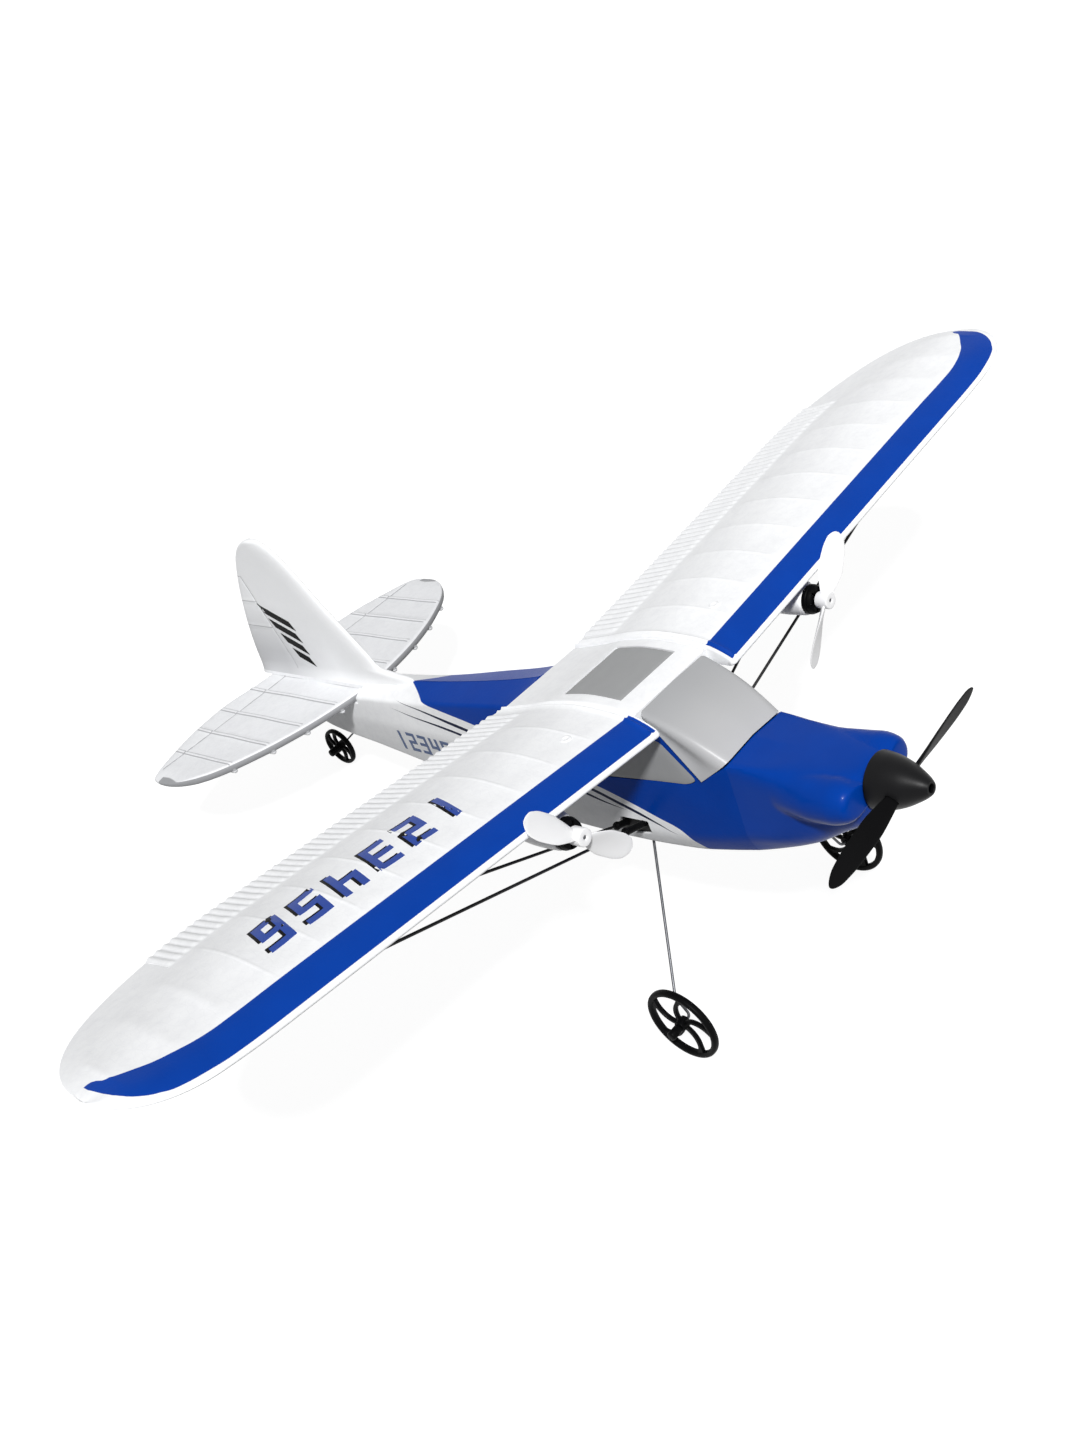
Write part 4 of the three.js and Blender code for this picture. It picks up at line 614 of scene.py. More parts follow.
WHITE_FOAM = foam()
WING_FOAM = wing_foam()
TAIL_FOAM = tail_foam()
BODY_FOAM = body_foam()
BLUE_GLOSS = blue_gloss()
GLAZING = glazing()
WINDOW_GREY = plastic(
    "window_grey", (160, 161, 162), (148, 149, 150), 0.34, 0.48, 0.015, 2.4, Specular_IOR_Level=0.1,
)
BLACK = plastic("black_plastic", (5, 5, 6), (13, 13, 14), 0.36, 0.5, 0.03, Specular_IOR_Level=0.04)
MATT_BLACK = plastic("matt_black", (8, 8, 9), (15, 15, 17), 0.34, 0.46, 0.03, 2.0, Specular_IOR_Level=0.13)
WHITE_PLASTIC = plastic("white_plastic", (252, 252, 252), (246, 246, 247), 0.36, 0.5)
TAPE = plastic("foam_tape", (226, 224, 216), (206, 203, 194), 0.75, 0.92, 0.08, 0.9)
WING_PAINT = plastic("number_blue", (16, 66, 160), (10, 50, 134), 0.36, 0.5, Specular_IOR_Level=0.3)
NAVY = plastic("number_navy", (38, 72, 122), (28, 58, 104), 0.4, 0.55, Specular_IOR_Level=0.3)
STEEL = metal("steel_wire", (112, 113, 116), (84, 85, 88), 0.32, 0.5)
BRASS = metal("brass", (214, 172, 92), (176, 134, 60), 0.24, 0.42)
CAN = metal("motor_can", (200, 202, 206), (164, 166, 172), 0.26, 0.44, (4.0, 0.4, 4.0))
CARBON = carbon()
WRAP = battery_wrap()
BOARD = circuit_board()
RED_WIRE = insulation("red_wire", (178, 32, 28), (140, 22, 20))
BLACK_WIRE = insulation("black_wire", (24, 24, 26), (36, 36, 38))


def coat(piece, finish):
    piece.data.materials.clear()
    piece.data.materials.append(finish)


def dress(piece, finish, *nodes, body="airframe"):
    """Gives a piece its finish and the body that it rides on, and hides the nodes that it replaces."""
    coat(piece, finish)
    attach(piece, body)
    if nodes:
        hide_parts(*nodes)


# Camera, at the photograph's viewing angle
def set_camera():
    azimuth, elevation, roll = (radians(v) for v in (-35.55, 27.41, -23.26))
    back = Vector((sin(azimuth) * cos(elevation), -cos(azimuth) * cos(elevation), sin(elevation)))
    right = Vector((cos(azimuth), sin(azimuth), 0))
    up = back.cross(right)
    across = right * cos(roll) + up * sin(roll)
    over = up * cos(roll) - right * sin(roll)
    basis = Matrix((across, over, back)).transposed().to_4x4()
    data = bpy.data.cameras.new("camera")
    data.sensor_width = 36
    data.lens = 39.64
    data.clip_start = 0.01
    data.clip_end = 100
    made = linked(bpy.data.objects.new("camera", data))
    made.matrix_world = Matrix.Translation(AIR @ Vector((-270.01, -309.667, 218.134))) @ TURN @ basis
    bpy.context.scene.camera = made


set_camera()


# Wing
HALF_SPAN, CHORD, LEADING_Y, WING_BASE = 200.0, 67.6, -8.8, -6.1
TRAILING_Y = LEADING_Y + CHORD
SLOPE = tan(radians(5.7))
ROOT_X = 17.8
STRIP_IN, STRIP_OUT, STRIP_SHARE, RIDGES = 23.0, 157.0, 0.775, 48
PITCH = (STRIP_OUT - STRIP_IN) / RIDGES
RIB_START, RIB_PITCH = 33.5, 14.43
BOSS_X, BOSS_Y = 36.0, 9.9

upper_foil, lower_foil = (pchip([(sqrt(s), h) for s, h in rows]) for rows in (
    ((0, 0), (0.006, 0.0125), (0.02, 0.022), (0.07, 0.05), (0.13, 0.074), (0.27, 0.096), (0.425, 0.104),
     (0.62, 0.083), (0.775, 0.046), (1, 0)),
    ((0, 0), (0.004, -0.006), (0.012, -0.008), (0.05, -0.008), (0.13, 0.003), (0.25, 0.012),
     (0.425, 0.015), (0.62, 0.006), (0.775, -0.006), (1, -0.018)),
))


def tip_round(x, start):
    if x <= start:
        return 1.0
    return max(0.0, 1 - ((x - start) / (HALF_SPAN - start)) ** 2.26) ** (1 / 2.26)


def wing_at(x):
    """The wing's leading edge, its chord and how much of its thickness is left."""
    apex = LEADING_Y + 0.325 * CHORD
    front = apex + (LEADING_Y - apex) * tip_round(x, 174.6)
    if x < ROOT_X + 1.6:
        share = 1 - (x - ROOT_X) / 1.6
        front += 1.3 * (1 - sqrt(max(0.0, 1 - share * share)))
    length = apex + (TRAILING_Y - apex) * tip_round(x, 130.5) - front
    return front, length, min(1.0, sqrt(length / CHORD))


def wing_lift(x):
    return WING_BASE + SLOPE * x + 3.7 * (max(0.0, x - 157) / 43) ** 2


def ridge(x):
    """The ribbed strip's height at x: narrow rounded ridges on a thin step."""
    if x < STRIP_IN - 0.01 or x > STRIP_OUT + 0.01:
        return 0.0
    return 0.08 + 0.5 * bell(((x - STRIP_IN) / PITCH) % 1.0 - 0.5, 0.5) ** 0.8


def sag(x, share):
    """The skin dips a little between the ribs, which stand up as thin crests."""
    if x < 19.5:
        return 0.0
    phase = ((x - RIB_START) / RIB_PITCH) % 1.0
    reach = min(1.0, max(0.0, (share - 0.155) / 0.12), max(0.0, (STRIP_SHARE - 0.02 - share) / 0.12))
    crest = 0.13 * bell(min(phase, 1 - phase) * RIB_PITCH, 0.6) * (x > RIB_START - 1)
    return (0.36 * sin(pi * phase) * min(1.0, (x - 19.5) / 3) - crest) * reach


def wing_top(x, y):
    """The height of the wing's upper skin at a point of its plan."""
    x = abs(x)
    front, length, thin = wing_at(x)
    share = min(1.0, max(0.0, (y - front) / length))
    return wing_lift(x) + upper_foil(sqrt(share)) * length * thin - sag(x, share)


def foil_under(y):
    """The lower skin's height over the wing's base line, on its full chord."""
    return lower_foil(sqrt((y - LEADING_Y) / CHORD)) * CHORD


UPPER_SHARES = (
    0, 0.0015, 0.006, 0.013, 0.024, 0.04, 0.06, 0.085, 0.115, 0.15, 0.19, 0.23, 0.27, 0.31, 0.36, 0.41, 0.46,
    0.51, 0.56, 0.61, 0.66, 0.70, 0.735, 0.76, 0.767, 0.775, 0.783, 0.791, 0.80, 0.82, 0.85, 0.89, 0.93, 0.96,
    0.98, 0.99, 1.0,
)
LOWER_SHARES = (
    1.0, 0.985, 0.95, 0.9, 0.84, 0.775, 0.7, 0.62, 0.54, 0.46, 0.38, 0.31, 0.25, 0.19, 0.13, 0.08, 0.05,
    0.028, 0.012, 0.004,
)


def wing_ring(x, raised):
    front, length, thin = wing_at(x)
    ring = []
    for share in UPPER_SHARES:
        y = front + share * length
        z = wing_top(x, y) + raised * min(1.0, share * 60)
        if share > STRIP_SHARE - 0.012:
            rise = min(1.0, (share - STRIP_SHARE + 0.012) / 0.04)
            z += ridge(x) * rise * rise * (3 - 2 * rise)
            y += 0.3 * (share > 0.95) * (ridge(x) > 0)
        ring.append((x, y, z))
    ring.append((x, front + length + 0.1, wing_lift(x) - 0.009 * length * thin))
    for share in LOWER_SHARES:
        ring.append((x, front + share * length, wing_lift(x) + lower_foil(sqrt(share)) * length * thin))
    return ring


def wing_stations():
    steps = (0.0, 0.14, 0.28, 0.39, 0.5, 0.61, 0.72, 0.86)
    strip = [STRIP_IN + (k + s) * PITCH for k in range(RIDGES + 1) for s in steps]
    strip = [x for x in strip if x <= STRIP_OUT] + [STRIP_OUT - 0.02, STRIP_OUT + 0.02, STRIP_IN - 0.02]
    inner = [ROOT_X, 18.0, 18.4, 18.9, 19.3, 19.7, 20.3, 21.2, 22.2]
    outer = spread(158, 184, 24) + [HALF_SPAN - 16 * (1 - s) ** 1.9 for s in spread(0.04, 0.97, 24)]
    return sorted(set(inner + strip + outer))


def wing_panel(side_name, side):
    rings = []
    for x in wing_stations():
        raised = 0.7 * (bell(x - 18.35, 0.75) + 0.7 * bell(x - 20.4, 0.8)) if x < 21.5 else 0.0
        rings.append(mirrored(wing_ring(x, raised), side))
    dress(loft(f"wing_{side_name}", rings, 50), WING_FOAM, f"wing_panel_{side_name}")


def wing_boss(side_name, side):
    """The small round boss moulded near the root on each wing's top."""
    foot = wing_top(BOSS_X, BOSS_Y)
    slope = (wing_top(BOSS_X, BOSS_Y + 1.5) - wing_top(BOSS_X, BOSS_Y - 1.5)) / 3
    lean = (wing_top(BOSS_X + 1.5, BOSS_Y) - wing_top(BOSS_X - 1.5, BOSS_Y)) / 3
    rows = ((1.75, -0.25), (1.75, 0.0), (1.6, 0.22), (1.2, 0.34), (0.9, 0.3), (0.7, 0.14), (0.3, 0.1))
    rings = [[
        (side * (BOSS_X + c), BOSS_Y + s, foot + height + c * lean + s * slope) for c, s in circle(32, reach)
    ] for reach, height in rows]
    dress(loft(f"wing_boss_{side_name}", rings, 40), WHITE_FOAM)


for side_name, side in SIDES:
    wing_panel(side_name, side)
    wing_boss(side_name, side)


# Wing centre section and skylight
CENTRE_HALF = 17.5
CENTRE_BASE = WING_BASE + SLOPE * CENTRE_HALF - 0.3


def centre_height(y):
    return CENTRE_BASE + upper_foil(sqrt((y - LEADING_Y) / CHORD)) * CHORD


def centre_section():
    rings = []
    for x in [-17.5, -17.35, -17.0, -16.4, -14, -10, -5, 0, 5, 10, 14, 16.4, 17.0, 17.35, 17.5]:
        drop = 0.35 * max(0.0, 1 - (CENTRE_HALF - abs(x)) / 0.6) ** 2
        ring = [(x, y, centre_height(y) - drop) for y in spread(0.35, TRAILING_Y, 40)]
        for y in reversed(spread(0.35, TRAILING_Y, 22)):
            ring.append((x, y, CENTRE_BASE + foil_under(y) + drop * 0.3))
        rings.append(ring)
    made = loft("wing_centre", rings, 40)
    pocket = []
    for y in spread(8.6, 33.7, 20):
        z = centre_height(y) - 1.1
        pocket.append([(-13.2, y, z), (13.2, y, z), (13.2, y, 20), (-13.2, y, 20)])
    combine(made, [loft("pocket", pocket)], smooth=40)
    dress(made, WHITE_FOAM, "wing_center_section")


def skylight(half=12.9, front=8.91, rear=33.38):
    rings = []
    for y in spread(front, rear, 26):
        foot = centre_height(y) - 0.8
        top = foot + 0.7 - 0.3 * max(0.0, 1 - min(y - front, rear - y) / 0.5) ** 2
        row = [(-half, y, top - 0.35), (-half + 0.15, y, top - 0.1), (-half + 0.5, y, top)]
        row += [(x, y, top) for x in spread(-half + 1.5, 0, 5)]
        rings.append(row + mirrored(reversed(row[:-1]), -1) + [(half, y, foot), (-half, y, foot)])
    dress(loft("skylight_panel", rings, 40), WINDOW_GREY, "skylight")


centre_section()
skylight()


# Fuselage: heights and half widths of the ridge, shoulder, crease and keel along the body
BODY_FRONT, BODY_LENGTH, HALF_WIDTH, DEPTH, WALL = -25.0, 239.0, 16.2, 53.0, 3.2
BODY_ROWS = (
    (0, -0.283, 0.877, -0.302, 0.963, -0.764, 0.79, -0.9),
    (0.046, -0.16, 0.926, -0.174, 0.981, -0.811, 0.82, -0.937),
    (0.105, -0.019, 0.975, -0.038, 1, -0.849, 0.85, -0.975),
    (0.209, -0.019, 0.981, -0.038, 1, -0.868, 0.87, -0.995),
    (0.293, -0.019, 0.951, -0.038, 0.981, -0.84, 0.84, -1.0),
    (0.364, -0.094, 0.778, -0.149, 0.895, -0.698, 0.72, -1.02),
    (0.481, -0.183, 0.667, -0.232, 0.765, -0.542, 0.56, -0.985),
    (0.628, -0.262, 0.556, -0.321, 0.636, -0.545, 0.49, -0.89),
    (0.766, -0.317, 0.512, -0.368, 0.512, -0.558, 0.4, -0.812),
    (0.895, -0.387, 0.37, -0.443, 0.37, -0.564, 0.3, -0.752),
    (1, -0.404, 0.204, -0.443, 0.216, -0.517, 0.17, -0.59),
)
body_curves = curves(BODY_ROWS)
WINDOW = [(-3.4, -9.2), (-12.7, -22.3), (-8.8, -24.1), (2, -24.6), (28.4, -26.9), (30, -9.2)]
RECESS = [(14.5, -42), (26.28, -42.24), (30, -50), (14.965, -47.2)]
TAIL_WIRE = [(0, 171, -35.6), (2.7, 201.4, -54.2)]


def leg_line(side):
    return [(side * 2.8, 26.3, -43.1), (side * 42, 1.7, -87.9)]


def body_corners(y, inset=0.0, inner_x=0.0):
    """The section's corners at y as (x, z), from the ridge round to the keel."""
    along = (y - BODY_FRONT) / BODY_LENGTH
    ridge_z, shoulder_x, shoulder_z, crease_x, crease_z, keel_x, keel_z = (c(along) for c in body_curves)
    return [
        (inner_x, ridge_z * DEPTH - inset), (shoulder_x * HALF_WIDTH - inset, shoulder_z * DEPTH - inset),
        (crease_x * HALF_WIDTH - inset, crease_z * DEPTH),
        (keel_x * HALF_WIDTH - inset / 2, keel_z * DEPTH + inset), (inner_x, keel_z * DEPTH + inset),
    ]


def body_half(y, inset=0.0, inner_x=0.0, side=1):
    """The half section at y as a closed ring with rounded corners."""
    top, shoulder, crease, keel, foot = (Vector((x, 0, z)) for x, z in body_corners(y, inset, inner_x))
    points = [top, *fillet(top, shoulder, crease, 1.3, 5)]
    last = points[-1]
    points += [last.lerp(crease, 0.3), last.lerp(crease, 0.6)]
    points += fillet(points[-1], crease, keel, 2.2, 5) + fillet(crease, keel, foot, 1.8, 5) + [foot]
    return [(side * p.x, y, p.z) for p in points]


def mirror_ring(half):
    return half + mirrored(reversed(half[1:-1]), -1)


def saddle_cutter():
    rear = TRAILING_Y + 0.4
    lift = SLOPE * CENTRE_HALF - 0.6
    outline = [(y, WING_BASE + foil_under(y) + lift) for y in [0, *spread(2, rear, 24)]]
    return prism("saddle", outline + [(rear, 30), (0, 30)], -20, 20)


def windshield_cutter():
    """The whole block under the windshield's outer face, grown by the gap round it."""
    corners = [(0, 0.3, 0.8), (0, -27, -14.6)]
    for side in (1, -1):
        corners += [(side * 16.0, 0.3, 0.3), (side * 16.2, -4.95, -7.65), (side * 16.2, -14.45, -21.95)]
        corners += [(side * 14.4, -27, -15.1)]
    hull = bmesh.new()
    for corner in corners:
        hull.verts.new(AIR @ Vector(corner))
    bmesh.ops.convex_hull(hull, input=hull.verts)
    mesh = bpy.data.meshes.new("room")
    hull.to_mesh(mesh)
    hull.free()
    slope = prism("slope", [(-25.2, -17.0), (0, -1.2), (0, 12), (-25.2, 12)], -20, 20)
    return [linked(bpy.data.objects.new("room", mesh)), slope]


def fuselage(side_name, side):
    stations = [BODY_FRONT, -22, -19, -16.5, -14, -11, -8, -5, -2.5, 0.1] + spread(3, 214, 72)
    made = loft(f"fuselage_{side_name}", [body_half(y, 0, 0.15, side) for y in stations], 30)
    cavity = []
    for y in [-27.0, -24.9] + [BODY_FRONT + row[0] * BODY_LENGTH for row in BODY_ROWS[1:8]]:
        corners = body_corners(y if y > -26 else BODY_FRONT, WALL)
        cavity.append(mirror_ring([(x, y, z) for x, z in corners]))
    combine(made, [
        loft("cavity", cavity), prism("window", rounded(grown(WINDOW, 0.12), 2.0, 6), side * 8, side * 20),
        prism("recess", rounded(RECESS, 0.7), -20, 20), block("seat", -18, 18, 158.3, 216, -22.4, 0),
        block("tab", -1.9, 1.9, 173.7, 196.3, -27.2, -16), block("hatch", -5.9, 5.9, -24.7, 13.3, -55, -26),
        tube("leg_bore", leg_line(side), 0.7, 10, 0),
        tube("wire_bore", [(0, 167, -31.5), *TAIL_WIRE], 0.55, 10, 0),
        saddle_cutter(), *windshield_cutter(),
    ], smooth=30)
    dress(made, BODY_FOAM, f"fuselage_half_{side_name}")


def side_x(y, z):
    """The half width of the fuselage's side at a height between its shoulder and crease."""
    shoulder, crease = body_corners(y)[1:3]
    share = (z - shoulder[1]) / (crease[1] - shoulder[1])
    return shoulder[0] + (crease[0] - shoulder[0]) * min(1.0, max(0.0, share))


def side_window(side_name, side):
    outline = rounded(WINDOW, 1.8, 6)

    def layer(points, depth):
        return [(side * (side_x(y, z) - depth), y, z) for y, z in points]

    rings = [layer(outline, 1.2), layer(outline, 0.35)]
    rings += [layer(grown(outline, -inset), depth) for inset, depth in ((0.12, 0.12), (0.4, 0.05))]
    for share in (0.75, 0.45, 0.15):
        inner = [(8.0 + (y - 8.0) * share, -17.0 + (z + 17.0) * share) for y, z in outline]
        rings.append(layer(inner, 0.02))
    dress(loft(f"side_panel_{side_name}", rings, 40), WINDOW_GREY, f"side_window_{side_name}")


for side_name, side in SIDES:
    fuselage(side_name, side)
for side_name, side in SIDES:
    side_window(side_name, side)


# Windshield: one panel wrapped round the cabin's front, with a soft crease at each corner
def windshield():
    rows = 30
    points, faces = [], []
    normal = Vector((0, -0.53, 0.85))
    for t in spread(0.0, 1.0, rows):
        pillar, corner, middle = (Vector(foot).lerp(Vector(head), t) for foot, head in (
            ((15.95, -15.1, -21.8), (15.95, -5.7, -7.6)), ((14.2, -24.98, -15.5), (15.8, 0, 0.1)),
            ((0, -24.98, -14.6), (0, 0, 0.5)),
        ))
        swell = sin(pi * t)
        corner += normal * 1.5 * swell + Vector((0.45, 0, 0)) * swell
        middle += normal * 1.3 * swell
        bend = fillet(pillar, corner, middle, 2.0 + 1.6 * (1 - t), 9)
        row = [pillar]
        for share in (0.2, 0.4, 0.6, 0.8):
            hollow = 0.75 * sin(pi * share) * sin(pi * t ** 0.8)
            row.append(pillar.lerp(bend[0], share) - Vector((hollow, 0, 0)))
        row += bend
        for share in (0.12, 0.3, 0.5, 0.7, 0.85, 1.0):
            row.append(bend[-1].lerp(middle, share) + normal * 0.5 * swell * sin(share * pi / 2))
        points += row + mirrored(reversed(row[:-1]), -1)
    columns = len(points) // rows
    for a in range(columns * (rows - 1)):
        if (a + 1) % columns:
            faces.append((a, a + 1, a + 1 + columns, a + columns))
    dress(shelled("windshield_panel", points, faces, 60), GLAZING, "windshield")


windshield()


# Cowl: its top, half width, waist and keel, and how square its upper and lower halves are
COWL_ROWS = (
    (0, -0.283, 0.963, -0.585, -0.9, 7, 5.5), (0.253, -0.3, 0.935, -0.566, -0.862, 6.5, 4.6),
    (0.506, -0.312, 0.89, -0.528, -0.822, 5.4, 3.5), (0.759, -0.328, 0.8, -0.481, -0.735, 4.2, 2.9),
    (0.937, -0.347, 0.69, -0.453, -0.674, 3.0, 2.4), (1, -0.37, 0.556, -0.453, -0.613, 2.4, 2.2),
)
cowl_curves = curves(COWL_ROWS)
cheek_radius = pchip([
    (0, 0.0), (0.015, 0.55), (0.09, 0.86), (0.25, 1.0), (0.45, 0.97), (0.7, 0.8), (0.9, 0.5), (1, 0.0),
])
COWL_LENGTH, JOINT_GAP, NOSE_Z = 39.47, 0.03, -23.6


def cowl_y(along):
    return BODY_FRONT - JOINT_GAP - along * COWL_LENGTH


def smooth_max(a, b, width):
    blend = max(0.0, width - abs(a - b)) / width
    return max(a, b) + blend * blend * width / 4


def joint_radius(angle, waist_z):
    """The distance from the cowl's middle line to the body's own section at the joint."""
    ring = [Vector((x, z - waist_z)) for x, y, z in mirror_ring(body_half(BODY_FRONT))]
    way = Vector((cos(angle), sin(angle)))
    for a, b in zip(ring, ring[1:] + ring[:1]):
        side = b - a
        cross = way.x * side.y - way.y * side.x
        if abs(cross) > 1e-9:
            reach = (a.x * side.y - a.y * side.x) / cross
            share = (a.x * way.y - a.y * way.x) / cross
            if reach > 0 and -1e-6 <= share <= 1 + 1e-6:
                return reach
    return 0.0


def cowl_oval(along, angle):
    top, width, waist, keel, upper_square, lower_square = (c(along) for c in cowl_curves)
    square = upper_square if sin(angle) >= 0 else lower_square
    height = (top - waist if sin(angle) >= 0 else waist - keel) * DEPTH
    across, up = abs(cos(angle) / (width * HALF_WIDTH)), abs(sin(angle) / height)
    return (across ** square + up ** square) ** (-1 / square)


def cowl_radius(along, angle):
    """The distance from the cowl's middle line to its skin, with the cheeks blended in."""
    c, s = cos(angle), sin(angle)
    radius = cowl_oval(along, angle)
    if along < 0.55:
        share = along / 0.55
        share = share * share * (3 - 2 * share)
        fit = joint_radius(angle, cowl_curves[2](0.0) * DEPTH) / cowl_oval(0.0, angle)
        radius *= 1 + (fit - 1) * (1 - share)
    share = (cowl_y(along) + 65.5) / 29
    if 0 < share < 1:
        reach = 6.6 * cheek_radius(share)
        cx = copysign(11.0, c)
        cz = -23.5 - 2.4 * share - cowl_curves[2](along) * DEPTH
        facing = cx * c + cz * s
        off = abs(cx * s - cz * c)
        if facing > 0 and off < reach:
            over = max(0.0, min(1.0, (s - cz / hypot(cx, cz)) * 2.5))
            radius = smooth_max(radius, facing + sqrt(reach * reach - off * off), 1.6 + 2.6 * over)
    return radius


def cowl(sides=128):
    angles = [tau * (i + 0.5) / sides for i in range(sides)]
    rings = []
    for along in spread(0, 1, 48):
        waist = cowl_curves[2](along) * DEPTH
        reaches = [(angle, cowl_radius(along, angle)) for angle in angles]
        rings.append([(cos(a) * reach, cowl_y(along), waist + sin(a) * reach) for a, reach in reaches])
    last = rings[-1]
    for scale, forward in ((0.97, 0.35), (0.9, 0.62), (0.8, 0.74), (0.62, 0.78), (0.45, 0.78)):
        ring = []
        for x, y, z in last:
            cheek = 0.25 * bell(hypot(abs(x) * scale - 8.5, (z - waist) * scale), 6)
            ring.append((x * scale, -64.5 - forward * 0.7 - cheek, waist + (z - waist) * scale))
        rings.append(ring)
    rings.append([(cos(a) * 2.85, -65.05, NOSE_Z + sin(a) * 2.85) for a in angles])
    dress(shelled("cowl_shell", *skin(rings, caps=False), 40), BLUE_GLOSS, "cowl")


cowl()


# Propellers: the blades' chord and pitch along their length
blade_chord, blade_pitch = curves((
    (0.09, 0.42, 38), (0.25, 0.72, 33), (0.48, 1, 26), (0.72, 0.97, 20), (0.88, 0.8, 17), (1, 0.62, 15),
))
MOTOR_X, MOTOR_Z = 60.3, -8.0
NOSE_BLADES = (38.8, 6.9, 7, -1, (0, -73.3, NOSE_Z))


def turned(points, degrees):
    c, s = cos(radians(-degrees)), sin(radians(-degrees))
    return [(p[0] * c + p[2] * s, p[1], -p[0] * s + p[2] * c) for p in points]


def shifted(points, offset, side=1):
    return [(side * p[0] + offset[0], p[1] + offset[1], p[2] + offset[2]) for p in points]


def two_blades(radius, chord, degrees, way, centre, side=1, grow=0.0):
    """Two twisted, cambered blades; grow makes them larger all round."""
    root, tip = 1.5 + 2 * grow, 0.6 + 2 * grow
    rings = []
    for share in spread(0, 1, 26):
        along = 0.09 + 0.91 * (1 - (1 - share) ** 1.6)
        end = max(0.0, (along - 0.87) / 0.13)
        width = blade_chord(along) * (chord + 2 * grow) * sqrt(max(0.03, 1 - end * end * 0.97))
        thick = (root + along * (tip - root)) * (1 if end < 0.5 else 1 - 0.5 * (end - 0.5) / 0.5)
        pitch = radians(blade_pitch(along))
        ring = []
        for c, s in circle(24):
            across = c * width / 2
            through = s * thick / 2 + 0.12 * width * 0.25 * (1 - (2 * across / width) ** 2)
            ring.append((
                along * (radius + grow), across * sin(pitch) + through * cos(pitch),
                way * (across * cos(pitch) - through * sin(pitch)),
            ))
        rings.append(ring)
    return [loft("blade", [
        shifted(turned(turned(ring, turn), degrees), centre, side) for ring in rings
    ], 40) for turn in (0, 180)]


def propeller(name, axis, hub, rounding, bore, blades):
    """A two-blade propeller, made of its hub's profile, its bore's and its blades' sizes."""
    made = lathe(name, rounded(sleeve(*hub), rounding), axis, "Y", 40)
    combine(made, two_blades(*blades), "UNION", 32)
    return combine(made, [lathe("bore", rod(*bore), axis, "Y", 20)], smooth=32)


def spinner():
    outer = pchip([(-81.8, 1.95), (-80.9, 2.75), (-78, 4.55), (-73.9, 6.55), (-69.5, 7.85), (-66, 8.4)])
    profile = [(1.25, -80.9), (1.3, -81.6), (1.5, -81.8)]
    profile += [(outer(y), y) for y in spread(-81.75, -66.3, 26)]
    profile += [(8.36, -66.05), (8.2, -66), (7.5, -66)]
    profile += [(outer(y) - 1.0, y) for y in spread(-66.6, -79.2, 12)]
    made = lathe("spinner_cone", profile, (0, 0, NOSE_Z), "Y", 72, 40)
    combine(made, two_blades(*NOSE_BLADES, grow=0.3), smooth=40)
    dress(made, MATT_BLACK, "spinner", body="nose_rotor")


for side_name, side in SIDES:
    x = side * MOTOR_X
    made = propeller(
        f"prop_{side_name}", (x, 0, MOTOR_Z), (0.55, 2.7, -14.0, -9.4), 0.55, (0.62, -16, -7),
        (21.5, 8.5, 47.5, 1, (x, -11.7, MOTOR_Z), side),
    )
    dress(made, WHITE_PLASTIC, f"propeller_{side_name}", body=f"rotor_{side_name}")
made = propeller("nose_prop", (0, 0, NOSE_Z), (1.2, 3.6, -75.8, -70.8), 0.4, (1.2, -78, -68), NOSE_BLADES)
dress(made, BLACK, "nose_propeller", body="nose_rotor")
spinner()


# Motor nacelles and their caps
nacelle_radius = pchip([(0, 1), (0.2, 1.04), (0.45, 0.94), (0.72, 0.66), (1, 0.26)])
nacelle_rise = pchip([(0, 0), (0.2, 0.0), (0.45, 0.06), (0.72, 0.36), (1, 0.9)])


def nacelle(side_name, side):
    rings = []
    for along in [0.0, 0.004, 0.015, 0.04] + spread(0.08, 1.0, 30):
        radius = nacelle_radius(along) * 5.15 * (1 - 0.07 * max(0.0, 1 - along / 0.02))
        y = -5.8 + along * 37
        axis_z = MOTOR_Z + nacelle_rise(along) * 5.4
        ring = []
        for c, s in circle(48):
            x, z = MOTOR_X + c * radius, axis_z + s * radius
            if s > 0 and y > LEADING_Y + 1.5:
                roof = wing_lift(x) + foil_under(y) - 0.1
                climb = max(0.0, roof - z) * min(1.0, s * 1.6) ** 0.7 * min(1.0, (y + 4.5) / 5)
                z = z + climb if roof > z else roof
            ring.append((side * x, y, z))
        rings.append(ring)
    made = loft(f"nacelle_{side_name}", rings, 40)
    bore = lathe("bore", rod(4.25, -8, 11.6), (side * MOTOR_X, 0, MOTOR_Z), "Y", 40)
    combine(made, [bore], smooth=40)
    dress(made, WHITE_PLASTIC, f"motor_nacelle_{side_name}")


def motor_cap(side_name, side):
    profile = rounded([
        (4.1, -6.1), (4.75, -6.1), (4.75, -7.4), (4.5, -7.6), (4.5, -8.0), (4.1, -9.0), (1.1, -9.0),
        (1.1, -8.1), (3.5, -8.1), (4.1, -7.2),
    ], 0.14, 3)
    axis = (side * MOTOR_X, 0, MOTOR_Z)
    made = lathe(f"cap_{side_name}", profile, axis, "Y", 48)
    slot = [(2.0, -0.45), (3.9, -0.45), (3.9, 0.45), (2.0, 0.45)]
    combine(made, [loft("vent", [
        shifted(turned([(x, y, z) for x, z in slot], turn), axis) for y in (-11, -7.7)
    ]) for turn in range(0, 360, 60)])
    dress(made, BLACK, f"motor_cap_{side_name}")


for side_name, side in SIDES:
    nacelle(side_name, side)
    motor_cap(side_name, side)


# Wheels
MAIN_AXLE = (42.4, -2.5, -93.5)
TAIL_AXLE = (0, 201.4, -54.2)
SPOKE_SECTION = ((1, 0.6), (0.75, 1), (-0.75, 1), (-1, 0.6), (-1, -0.6), (-0.75, -1), (0.75, -1), (1, -0.6))


